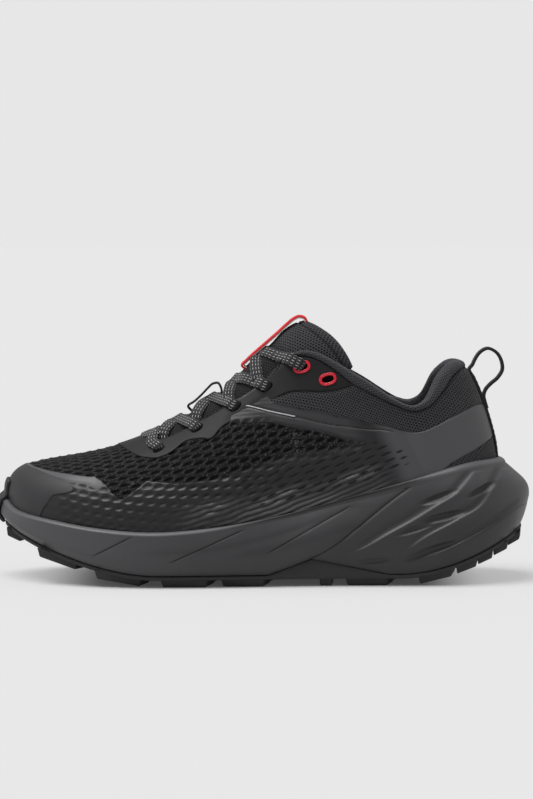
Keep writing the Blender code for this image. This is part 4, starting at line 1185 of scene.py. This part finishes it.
def makeTongue():
    settings = tongueSettings
    t = np.linspace(0, 1, settings["rows"])[:, None]
    turn = np.radians(np.linspace(90, -90, settings["columns"]))[None, :]
    spot = tonguePoint(t, turn)
    look = gridNormal(spot, (0, 0, 1))
    inset = edgeDistance(spot)
    half = settings["thick"] / 2 * roundedEdge(inset, settings["round"])
    seam = 0.7 * np.exp(-((inset - settings["seamIn"]) / 0.6) ** 2)
    middle = spot - settings["thick"] / 2 * look
    outer = middle + (half - seam)[..., None] * look
    inner = middle - half[..., None] * look
    grid = pillow(outer, inner)
    uv = np.stack([runAlong(spot, 1), runAlong(spot, 0)], -1)
    uv = np.concatenate([uv, uv[-2:0:-1], uv[:1]])
    shade = np.broadcast_to(1 - ease((t - 0.66) / 0.08), spot.shape[:2])  # painted shade on the cloth under the laces
    stitch = 0.7 * (1 - np.abs(inset - settings["seamIn"]) / 0.9)
    shade = np.maximum(shade * 0.75, stitch)
    shade = np.concatenate([shade, np.zeros((len(grid) - len(shade), shade.shape[1]))])
    return gridPiece("tonguePad", grid, uv, {"shade": np.clip(shade, 0, 1)})


tongue = finishPiece(makeTongue(), tongueMaterial, "tongue_mesh", "tongue")

# Laces: each strand comes up from under one edge, crosses the tongue and dives into the next eyelet across
laceSettings = {
    "width": 6.4,
    "thick": 1.4,
    "over": 0.35,
    "points": 72,
    "crossings": (-62.8, -46, -27.2, -13.6, -0.4),  # along the shoe, from the bar to the top
    "barLift": 3.0,
    "standUp": (3.4, 3.2, 2.2, 0.6),  # how far each strand stands off the tongue where it comes up
    "above": (1.5, 1.5, 1.5, 0.7),  # of the strand that lies on top, at each crossing
    "back": 0.17,
    "firstBack": 0.42,
    "faceOut": 0.4,
    "levelled": np.array((0.2, 1.0, 1.0)),
    "ringLift": 0.9,
    "shadeFrom": 4.4,  # millimetres from an end, where the lace goes into its eyelet
    "shadeOver": 0.9,
}


def smoothBand(points, looks, count):
    # a smooth path, with the directions its face takes along it
    points, looks = np.array(points), np.array(looks)
    run = lengthRun(points)
    face = betweenRows(np.linspace(0, run[-1], count), run, looks)
    return smoothPath(points, count), unit(face)


def throatTop(u):
    return smoothThrough(throatEdge, min(u, roundShoe - u))


def laceDescent(eyelet, ridge):
    # from the tongue's ridge over the throat's edge and down through an eyelet
    settings = laceSettings
    lift = plateSettings["eyestay"]["thick"] + settings["thick"] / 2 + settings["over"]
    u, v = eyelet
    goal = upperPoint(np.array(u), np.array(v))
    way = goal - ridge
    places = u + np.linspace(-1.2, 1.2, 121)
    rims = upperPoint(places, np.array([throatTop(one) for one in places]))
    share = np.clip((rims - ridge) @ way / (way @ way), 0, 1)
    nearest = np.argmin(np.linalg.norm(ridge + share[:, None] * way - rims, axis=1))
    over = places[nearest]
    top = throatTop(over)
    overRing = settings["ringLift"] if eyelet[1] == ringed[0][1] else 0.0
    spots = ((over, top, lift + 0.3), (over * 0.4 + u * 0.6, top * 0.45 + v * 0.55, lift + 0.3 + overRing),
             (u, v + 0.012, lift - 0.2 + overRing), (u, v - 0.006, -3.5))
    points = [offUpper(np.array(a), np.array(b), np.array(c)) for a, b, c in spots]
    looks = [upperNormal(np.array(a), np.array(b)) for a, b, _ in spots]
    dive = unit(points[2] - points[0])
    return points, looks[:2] + [unit(looks[2] + 0.5 * dive), dive]


def drapeOnTongue(points, looks, lift, standUp=0.0):
    # lays the stretch between two points over the tongue wherever the straight line would cut into it
    start, end = points
    spots, faces = [], []
    for share in np.linspace(0, 1, 7)[1:-1]:
        line = start + (end - start) * share
        bed, out = onTongue(line[0], line[1])
        clear = lift + standUp * min(4 * share, 1) * (1 - share)
        rise = max((bed + clear * out - line) @ out, 0)
        spots.append(line + rise * out)
        faces.append(unit(out * 0.7 + (looks[0] * (1 - share) + looks[1] * share) * 0.3))
    return spots, faces


def laceBand(name, path, look, left):
    # left: length left to the nearest end that goes into an eyelet
    settings = laceSettings
    shade = 1 - ease((left - settings["shadeFrom"]) / settings["shadeOver"])
    return sweptPiece(name, path, look, settings["width"], settings["thick"], shade=shade)


def laceStrand(name, low, high, crossing, level, standUp):
    settings = laceSettings
    lift = settings["thick"] / 2 + 0.2
    bed, away = onTongue(crossing, 0.0)
    ridge = bed + (lift + level) * away
    # it comes up a little nearer to the toe than its own eyelet
    place = min(low[0], roundShoe - low[0])
    place = place - (settings["firstBack"] if place == eyelets[0][0] else settings["back"])
    u = np.array(place if low[0] < heelBack else roundShoe - place)
    top = throatTop(place)
    under = [offUpper(u, np.array(top - 0.08), np.array(-4.0)), offUpper(u, np.array(top), np.array(-2.9))]
    underLook = [upperNormal(u, np.array(top))] * 2
    down, downLook = laceDescent(high, ridge)
    rise, riseLook = drapeOnTongue((under[1], ridge), (underLook[1], away), lift, standUp)
    aside = np.array((0, -1 if low[0] < heelBack else 1, 0)) * settings["faceOut"]
    riseLook = [unit(one * settings["levelled"] + aside) for one in riseLook]
    fall, fallLook = drapeOnTongue((ridge, down[0]), (away, downLook[0]), lift)
    path, look = smoothBand(under + rise + [ridge] + fall + down,
                            underLook + riseLook + [away] + fallLook + downLook, settings["points"])
    left = lengthRun(path[::-1])[::-1]
    return laceBand(name, path, look, left)


def laceBar(name, outer, inner, crossing):
    settings = laceSettings
    lift = settings["thick"] / 2 + settings["barLift"]
    bed, away = onTongue(crossing, 0.0)
    ridge = bed + lift * away
    near, nearLook = laceDescent(outer, ridge)
    far, farLook = laceDescent(inner, ridge)
    close = settings["thick"] / 2 + 0.2
    rise, riseLook = drapeOnTongue((near[0], ridge), (nearLook[0], away), close)
    fall, fallLook = drapeOnTongue((ridge, far[0]), (away, farLook[0]), close)
    fallLook = [unit(one * settings["levelled"]) for one in fallLook]
    path, look = smoothBand(near[::-1] + rise + [ridge] + fall + far,
                            nearLook[::-1] + riseLook + [away] + fallLook + farLook, settings["points"])
    run = lengthRun(path)
    left = np.minimum(run, run[-1] - run)
    return laceBand(name, path, look, left)


def makeLaces():
    laced = eyelets[:-1]
    crossings = laceSettings["crossings"]
    strands = [laceBar("laceBar", *bothSides(laced[0]), crossings[0])]
    for number, (low, high) in enumerate(zip(laced, laced[1:]), 1):
        outerLow, innerLow = bothSides(low)
        outerHigh, innerHigh = bothSides(high)
        standUp = laceSettings["standUp"][number - 1]
        above = laceSettings["above"][number - 1]
        crossing = crossings[number]
        strands.append(laceStrand(f"strandInner{number}", outerLow, innerHigh, crossing, 0.0, standUp))
        strands.append(laceStrand(f"strandOuter{number}", innerLow, outerHigh, crossing, above, standUp))
    return joinPieces("laceRun", strands)


finishPiece(makeLaces(), laceMaterial, "lace", "laces")

# Loops that stand on the middle line, as x and z of their path
loopSettings = {
    "heelLoop": {"width": 8, "thick": 1.8, "points": 150},
    "tongueLoop": {"width": 12, "thick": 1.9, "points": 80},
    "laceKeeper": {"width": 6, "thick": 1.2, "points": 70},
}
heelLoopPath = ((118.2, 119.2), (119.6, 122.2), (122.5, 126.3), (126.4, 128.4), (131.5, 126.3),
                (134.7, 120.7), (135, 116.5), (132.4, 112), (128.2, 108.3), (125.5, 105), (124.7, 102),
                (125.3, 99), (126.5, 95))
tongueLoopPath = ((-8, 117.2), (-10.4, 119), (-8, 121.6), (3.2, 131.7), (9.5, 137.2), (14.5, 141.8),
                  (18.3, 144.9), (21.4, 146.2), (24.2, 145.4), (25.4, 143.4))
keeperPath = ((-38.5, 93.2), (-40.8, 96), (-37.2, 98.8), (-32.9, 102.8), (-29.9, 106), (-26.8, 108.7),
              (-24, 109), (-22.5, 106.8), (-21.8, 103.2))


def makeStanding(name, path):
    settings = loopSettings[name]
    flat = smoothPath(path, settings["points"])
    along = unit(np.gradient(flat, axis=0))
    line = np.stack([flat[:, 0], 0 * flat[:, 0], flat[:, 1]], -1)
    look = np.stack([-along[:, 1], 0 * along[:, 0], along[:, 0]], -1)
    return sweptPiece(name, line, look, settings["width"], settings["thick"], 20, 0.35)


tapeSettings = {"foot": 0.29, "top": 0.92, "points": 11, "lift": 1.35, "sink": 0.6, "sinkUnder": 0.42,
                "sinkOver": 0.13}
tapeLevels = np.linspace(tapeSettings["foot"], tapeSettings["top"], tapeSettings["points"])
tapeSunk = ease((tapeSettings["sinkUnder"] - tapeLevels) / tapeSettings["sinkOver"])
tapeHeight = tapeSettings["lift"] - tapeSettings["sink"] * tapeSunk
tape = offUpper(np.full(len(tapeLevels), float(heelBack)), tapeLevels, tapeHeight)
finishPiece(makeStanding("heelLoop", [(x, z) for x, _, z in tape] + list(heelLoopPath)), webbingMaterial,
            "black_webbing", "heel_loop")
stitchSettings = {"levels": (0.36, 0.9), "length": 2.2, "pitch": 3.2, "thick": 0.45, "inset": 0.9,
                  "rise": np.array((-0.4, -0.14, -0.1, -0.14, -0.4))}


def makeTapeStitches():
    # short threads along both edges of the heel tape
    settings = stitchSettings
    levels = np.linspace(*settings["levels"], 200)
    place = np.full(len(levels), float(heelBack))
    face = np.interp(levels, tapeLevels, tapeHeight) + loopSettings["heelLoop"]["thick"] / 2
    line, look = offUpper(place, levels, face), upperNormal(place, levels)
    run = lengthRun(line)
    edge = loopSettings["heelLoop"]["width"] / 2 - settings["inset"]
    stitches = []
    for aside in (-edge, edge):
        for start in np.arange(0, run[-1] - settings["length"], settings["pitch"]):
            at = start + settings["length"] * np.linspace(0, 1, len(settings["rise"]))
            path = betweenRows(at, run, line)
            out = unit(betweenRows(at, run, look))
            path = path + settings["rise"][:, None] * out + np.array((0, aside, 0))
            stitches.append(sweptPiece("stitch", path, out, settings["thick"], settings["thick"], 6, 1.0))
    return joinPieces("tapeStitches", stitches)


finishPiece(makeTapeStitches(), threadMaterial, "black_webbing")
finishPiece(makeStanding("tongueLoop", tongueLoopPath), ribbonMaterial, "red_ribbon", "tongue_loop")
finishPiece(makeStanding("laceKeeper", keeperPath), webbingMaterial, "black_webbing", "lace_keeper")

# Midsole: rim, sculpted wall and foot
midsoleSettings = {
    "columns": 700,
    "wallRows": 104,
    "rim": {0: 3.0, 4.6: 3.0, 5.6: 0.9, 8.3: 0.9, 9.2: 3.0, 12: 3.0},  # ledge outside the upper, by place
    "tuck": 4.0,
    "flare": 0.62,
    "step": 1.15,
    "frontStep": 0.5,
    "fade": 6.5,
    "heelFull": 2.8,
    "lipDrop": 0.06,
}
# Shares of painted light (paler) and painted shade (darker) on the foam
midsoleTones = {"heelBead": 0.8, "front": 0.45, "highHeel": 0.4, "backHeel": 0.4, "waist": 0.26,
                "lowHeel": 0.42, "rimLine": 0.8}
# The tread lifts off the floor at toe and heel
treadSettings = {"toeFrom": -58, "toeRun": 76, "toeRise": 20.7, "heelFrom": 78, "heelRun": 64.5,
                 "heelRise": 22.5, "bend": 1.7}
soleSettings = {"lug": 4.0, "sheet": 2.2, "flapStart": 4, "flapPeak": 28, "flapEnd": 70, "flapHeight": 8.5}
# Ledges: the wall below each line stands proud. Creases: (line, depth, half width)
ledges = {
    "front band": {-70: 15.5, -20: 19, 4: 24, 52: 40},
    "front foot": {-20: 14, 8: 18.5, 52: 29},
    "heel upper": {43: 16.5, 56: 21.3, 70: 29.3, 82: 35.8, 97: 45, 106: 50.5, 117: 62},
    "heel lower": {72: 14.3, 90: 27.4, 108: 37, 122: 45.7, 133: 62},
    "heel foot": {84: 15, 107: 23, 123: 31, 142: 42},
}
# Leaf-shaped hollows between the heel's ridges: middle, half length, half height, slope in degrees, depth
leaves = ((98.6, 38, 16, 2.7, 14, 1.5), (121, 52, 11, 2.4, 24, 1.5), (97, 48.5, 13, 2.2, 20, 1.3),
          (93, 19.5, 20, 3.2, 18, 1.4), (62, 14, 13, 1.8, 6, 0.9), (84, 31.5, 13, 2.3, 17, 1.2))
creases = {
    "toe": ({-91: 17.6, -71: 27.9}, 0.25, 0.6),
    "ball": ({-49: 14.4, -10: 31.2}, 0.25, 0.6),
    "waist": ({4: 19, 48.5: 43.5}, 0.25, 0.6),
    "main": ({5: 6, 16: 10.3, 26.7: 14.7, 40.3: 22.8, 53.9: 33.2, 67.5: 44, 83.3: 55.6}, 0.5, 0.75),
}


def treadHeight(x):
    settings = treadSettings
    x = np.asarray(x, float)
    toe = np.clip((settings["toeFrom"] - x) / settings["toeRun"], 0, None)
    heel = np.clip((x - settings["heelFrom"]) / settings["heelRun"], 0, None)
    return settings["toeRise"] * toe ** settings["bend"] + settings["heelRise"] * heel ** settings["bend"]


def flapHeight(x):
    settings = soleSettings
    rising = (x - settings["flapStart"]) / (settings["flapPeak"] - settings["flapStart"])
    falling = (settings["flapEnd"] - x) / (settings["flapEnd"] - settings["flapPeak"])
    return settings["flapHeight"] * np.clip(np.minimum(rising, falling), 0, 1)


def midsoleFoot(x):
    return treadHeight(x) + soleSettings["lug"] + soleSettings["sheet"] + gap


def lineSlope(line, x):
    return (smoothThrough(line, x + 1) - smoothThrough(line, x - 1)) / 2


def wallRelief(x, z):
    # how far the wall stands proud of its smooth form, and the marks that its material reads
    settings = midsoleSettings
    relief, dark, creaseAway, creaseNear = (np.zeros(x.shape) for _ in range(4))
    for name, line in ledges.items():
        heel = name.startswith("heel")
        first, last = min(line), max(line)
        below = (smoothThrough(line, x) - z) / np.hypot(1, lineSlope(line, x))
        ends = ease((x - first) / 14) * ease((last + 8 - x) / 10)
        under = (below + np.sqrt(below**2 + 1)) / 2  # a soft start of the slope under the crest
        crest = ease((below + 0.7) / (0.9 if heel else 7)) * np.exp(-under / settings["fade"])
        hollow = np.exp(-(((below + 2.8) / 2.0) ** 2))
        size = settings["step"] if heel else settings["frontStep"]
        relief += size * ends * (crest - 0.4 * hollow)
        # painted shade in the hollow above each ledge
        dark = np.maximum(dark, (0.45 if heel else 0.18) * ends * hollow)
    for x0, z0, half, high, rise, depth in leaves:
        c, s = math.cos(math.radians(rise)), math.sin(math.radians(rise))
        along, up = (x - x0) * c + (z - z0) * s, (z - z0) * c - (x - x0) * s
        leaf = ease(1 - (along / half) ** 2 - (up / high) ** 2)
        relief -= depth * leaf
        # painted shade in each leaf-shaped hollow
        dark = np.maximum(dark, 0.4 * depth * leaf)
    for line, depth, half in creases.values():
        first, last = min(line), max(line)
        away = (z - smoothThrough(line, x)) / np.hypot(1, lineSlope(line, x))
        inside = ease((x - first + 3) / 6) * ease((last + 3 - x) / 6)
        relief -= depth * np.exp(-((away / half) ** 2)) * inside
        # where each crease runs, for the painted shade line along it
        near = inside * ease((5 - np.abs(away)) / 2)
        creaseAway = np.where(near > creaseNear, away / half, creaseAway)
        creaseNear = np.maximum(creaseNear, near)
    return relief, {"dark": dark, "creaseAway": creaseAway, "creaseNear": creaseNear}


def sidewallPoint(u, w):
    # outer face of the midsole: w runs from its rim (0) to its foot (1); also the marks on it
    settings = midsoleSettings
    out = outwardAt(u)[None]
    w = np.asarray(w, float)[:, None, None]
    place = np.minimum(u % roundShoe, -u % roundShoe)
    ledge = smoothThrough(settings["rim"], place)[:, None]
    rim = (offUpper(u, rimLevel(u), seat) + ledge * outwardAt(u))[None]
    edge = np.stack([atRib(soleLoop["edgeX"], u), atRib(soleLoop["edgeY"], u), 0 * u], -1)[None]
    bulge = 1 - (1 - np.minimum(w / settings["flare"], 1)) ** 1.55
    tuck = settings["tuck"] * np.maximum((w - settings["flare"]) / (1 - settings["flare"]), 0) ** 2
    spot = rim * (1 - bulge) + edge * bulge - tuck * out
    foot = midsoleFoot(spot[..., 0]) + flapHeight(spot[..., 0])
    spot[..., 2] = (rim[..., 2] - 0.4) * (1 - w[..., 0]) + foot * w[..., 0]
    fade = ease(w[..., 0] / 0.1) * ease((1 - w[..., 0]) / 0.06)
    relief, marks = wallRelief(spot[..., 0], spot[..., 2])
    marks["dark"] = fade * marks["dark"]
    # the back of the heel is full under its rim
    back = ease((place - 10.2) / 1.2)[None, :]
    relief += settings["heelFull"] * back * np.exp(-(((spot[..., 2] - rim[..., 2] + 13) / 7) ** 2))
    return spot + (fade * relief)[..., None] * out, marks


def makeMidsole():
    u = spreadColumns(midsoleSettings["columns"], 0.05)
    bed = upperPoint(u, 0 * u) + seat * outwardAt(u)
    bed[:, 2] = footbedHeight(bed[:, 0])
    level = rimLevel(u)
    rows = [towardSpine(bed, share, footbedHeight) for share in (1, 0.5)] + [bed]
    rows += [offUpper(u, level * share, seat) for share in (0.4, 0.75, 0.95)]
    down = np.linspace(midsoleSettings["lipDrop"], 1, midsoleSettings["wallRows"])
    side, sideMarks = sidewallPoint(u, down)
    inside, lip = offUpper(u, level, seat) + 0.5 * outwardAt(u), side[0]
    before = len(rows)
    # the rim turns over to the wall in a quarter round
    archTurns = np.radians((0, 18, 36, 54, 72))
    for turn in archTurns:
        arch = inside + (lip - inside) * math.sin(turn)
        arch[:, 2] = inside[:, 2] + 0.3 + (lip[:, 2] - inside[:, 2] - 0.3) * (1 - math.cos(turn))
        rows.append(arch)
    rows += list(side)
    rows += [towardSpine(side[-1], share, midsoleFoot) for share in (0.3, 0.65, 1)]
    grid = closeRound(rows)
    marks = {name: np.zeros(grid.shape[:2]) for name in ("pale", *sideMarks)}
    wallStart = before + len(archTurns)
    for name, values in sideMarks.items():
        marks[name][wallStart:wallStart + len(side), :-1] = values
    dark, pale = marks["dark"], marks["pale"]
    # painted highlight along the rim's bead, clearest from the toe to the waist and round the heel
    place = placeOf(u)
    tones = midsoleTones
    front, heel = ease((5.4 - place) / 0.8), ease((place - 8.6) / 0.8)
    beadHighlight = np.maximum(front * (0.6 + 0.4 * ease(place / 2.5)), tones["heelBead"] * heel)
    fall = inside[None, :, 2] - np.stack(rows)[before:, :, 2]
    # painted light: the rim's bead, the toe end, the top and the back of the heel
    paler = [beadHighlight * ease((1.9 - fall) / 0.9), tones["front"] * ease((5.4 - place) / 3) + 0 * fall,
             tones["highHeel"] * ease((place - 8.2) / 1.2) * ease((15 - fall) / 8),
             tones["backHeel"] * ease((place - 10) / 1.2) * ease((40 - fall) / 10)]
    # painted shade: in the relief's hollows, over the lower waist and the lower heel, and in a dark line at
    # the waist where the film meets the rim
    darker = [dark[before:, :-1], tones["waist"] * within(place, 6.2, 0.8, 9.4, 0.8) * ease((fall - 3) / 6),
              tones["lowHeel"] * ease((place - 7.8) / 1.2) * ease((fall - 22) / 12),
              tones["rimLine"] * within(place, 5.3, 0.5, 8.8, 0.5) * ease((1.5 - fall) / 0.6)]
    pale[before:, :-1] = np.maximum.reduce(paler)
    dark[before:, :-1] = np.maximum.reduce(darker)
    for mark in marks.values():
        mark[:, -1] = mark[:, 0]
    return gridPiece("midsoleFoam", grid, None, marks)


finishPiece(makeMidsole(), foamMaterial, "midsole_foam", "midsole")

# Outsole: a rubber sheet with its lugs, and the rubber that climbs the toe
# Rows of lugs: start and end along the shoe, length across it
lugRows = ((-142, -134, 12), (-123, -101, 19), (-91, -65, 20), (-55, -29, 20), (-22, 2, 19), (32, 39, 14),
           (46, 70, 17), (86, 105, 18), (107, 118.6, 17), (119, 127.6, 15), (128, 136.2, 12),
           (136.6, 143.8, 9))
outsoleSettings = {"columns": 320, "root": 0.8, "drawIn": 0.9, "bevel": 0.7, "proud": 0.5, "slant": 0.18,
                   "margin": 1.2, "groove": 5.0, "pairRoom": 24, "pairGrooves": 15}


def lugPlans(outline):
    settings = outsoleSettings
    half = len(outline) // 2
    outerEdge, innerEdge = outline[:half + 1], np.vstack([outline[half:], outline[:1]])[::-1]
    plans = []
    for start, end, length in lugRows:
        slant = settings["slant"] * (end - start)
        middle = (start + end) / 2
        outer = np.interp(middle, outerEdge[:, 0], outerEdge[:, 1]) + settings["margin"]
        inner = np.interp(middle, innerEdge[:, 0], innerEdge[:, 1]) - settings["margin"]
        for edge, way in ((outer, 1), (inner, -1)):
            plans.append(((start, edge), (end, edge), (end + slant, edge + way * length),
                          (start + slant, edge + way * length)))
        room = inner - outer - 2 * length
        if room > settings["pairRoom"]:
            width = (room - settings["pairGrooves"]) / 2
            reach = length + settings["groove"]
            for way, near in ((1, outer + reach), (-1, inner - reach)):
                far = near + way * width
                plans.append(((start + slant, near), (end + slant, near), (end + 2 * slant, far),
                              (start + 2 * slant, far)))
    return plans


def makeLug(plan):
    settings = outsoleSettings
    middle = np.mean(plan, axis=0)
    bpy.ops.object.select_all(action="DESELECT")
    bpy.ops.mesh.primitive_cube_add(size=2)
    lug = bpy.context.object
    order = {(-1, -1): 0, (1, -1): 1, (1, 1): 2, (-1, 1): 3}
    for vertex in lug.data.vertices:
        x, y = plan[order[round(vertex.co.x), round(vertex.co.y)]]
        if vertex.co.z < 0:
            x, y = middle + (np.array((x, y)) - middle) * settings["drawIn"]
            z = treadHeight(x)
        else:
            z = treadHeight(x) + soleSettings["lug"] + settings["root"]
        vertex.co = shoePoint((x, y, z))
    closeMesh()
    addModifier(lug, "BEVEL", width=settings["bevel"] * mm, segments=2)
    return lug


def makeOutsole():
    settings = outsoleSettings
    u = spreadColumns(settings["columns"], 0.05)
    edge = sidewallPoint(u, np.array([1.0]))[0][0]
    out = outwardAt(u)

    def topHeight(x):
        return treadHeight(x) + soleSettings["lug"] + soleSettings["sheet"]

    def underHeight(x):
        return treadHeight(x) + soleSettings["lug"]

    over, under = edge.copy(), edge.copy()
    over[:, 2] -= gap
    under[:, 2] = underHeight(edge[:, 0])
    rows = [towardSpine(over, share, topHeight) for share in (1, 0.5, 0.12)] + [over]
    for share, proud in ((0.12, 0.7), (0.3, 1.0), (0.7, 1.0), (0.88, 0.7)):
        rows.append(over * (1 - share) + under * share + settings["proud"] * proud * out)
    rows += [under] + [towardSpine(under, share, underHeight) for share in (0.12, 0.5, 1)]
    sheet = gridPiece("outsoleRubber", closeRound(rows))
    lugs = [makeLug(plan) for plan in lugPlans(edge)]
    for lug in lugs:
        addModifier(sheet, "BOOLEAN", operation="UNION", solver="MANIFOLD", object=lug)
        bpy.data.objects.remove(lug)
    bpy.ops.object.select_all(action="DESELECT")
    sheet.select_set(True)
    bpy.context.view_layer.objects.active = sheet
    bpy.ops.object.shade_smooth_by_angle(angle=math.radians(38))
    return sheet


bumperSettings = {"reach": 0.42, "rise": 0.14, "standOff": 0.6, "thick": 1.9, "rows": 44, "columns": 44,
                  "edge": 1.2}


def makeBumper():
    settings = bumperSettings
    u = np.linspace(-settings["reach"], settings["reach"], settings["columns"])
    level = rimLevel(u)
    climb = [offUpper(u, level + share * settings["rise"], settings["standOff"])
             for share in (1, 0.6, 0.2)]
    front = list(sidewallPoint(u, np.array([0.12, 0.4, 0.7, 0.98]))[0] + seat * outwardAt(u)[None])
    columns = np.stack(climb + front)
    spot = np.stack([smoothPath(columns[:, k], settings["rows"]) for k in range(len(u))], 1)
    look = gridNormal(spot, (-1, 0, 0))
    outer = spot + (settings["thick"] * roundedEdge(edgeDistance(spot), settings["edge"]))[..., None] * look
    return gridPiece("toeBumper", pillow(outer, spot))


finishPiece(makeOutsole(), outsoleMaterial, "outsole_rubber", "outsole")
finishPiece(makeBumper(), capMaterial, "outsole_rubber", "toe_bumper")

# Insole: a cloth-topped foam bed, a little lower at its edge
insoleSettings = {"columns": 240, "thick": 4.0, "edgeDrop": 0.6}


def makeInsole():
    settings = insoleSettings
    u = spreadColumns(settings["columns"], 0.05)
    edge = upperPoint(u, 0 * u) - (wall + 2 * gap) * outwardAt(u)
    under, over = edge.copy(), edge.copy()
    under[:, 2] = footbedHeight(edge[:, 0]) + gap
    over[:, 2] = footbedHeight(edge[:, 0]) + settings["thick"] - settings["edgeDrop"]

    def top(x):
        return footbedHeight(x) + settings["thick"]

    rows = [towardSpine(under, share, lambda x: footbedHeight(x) + gap) for share in (1, 0.5)]
    rows += [under, (under + over) / 2, over]
    rows += [towardSpine(over, share, top) for share in (0.03, 0.1, 0.25, 0.5, 0.75, 1)]
    grid = closeRound(rows)
    uv = grid[..., :2].copy()
    return gridPiece("insoleBed", grid, uv)


finishPiece(makeInsole(), insoleMaterial, "insole_cloth", "insole")

# Piping: a light reflective cord along the panel's seam
pipingLine = {5.48: 0.838, 5.89: 0.735, 6.31: 0.657}
pipingSettings = {"start": 5.46, "end": 6.34, "points": 40, "lift": 0.35, "thick": 0.7}


def makePiping():
    settings = pipingSettings
    pieces = []
    for inner in (False, True):
        place = np.linspace(settings["start"], settings["end"], settings["points"])
        u = roundShoe - place if inner else place
        v = smoothThrough(pipingLine, place)
        path = offUpper(u, v, settings["lift"])
        thick = settings["thick"]
        pieces.append(sweptPiece("piping", path, upperNormal(u, v), thick, thick, 8, 1.0))
    return joinPieces("panelPiping", pieces)


finishPiece(makePiping(), pipingMaterial, "overlay_film")
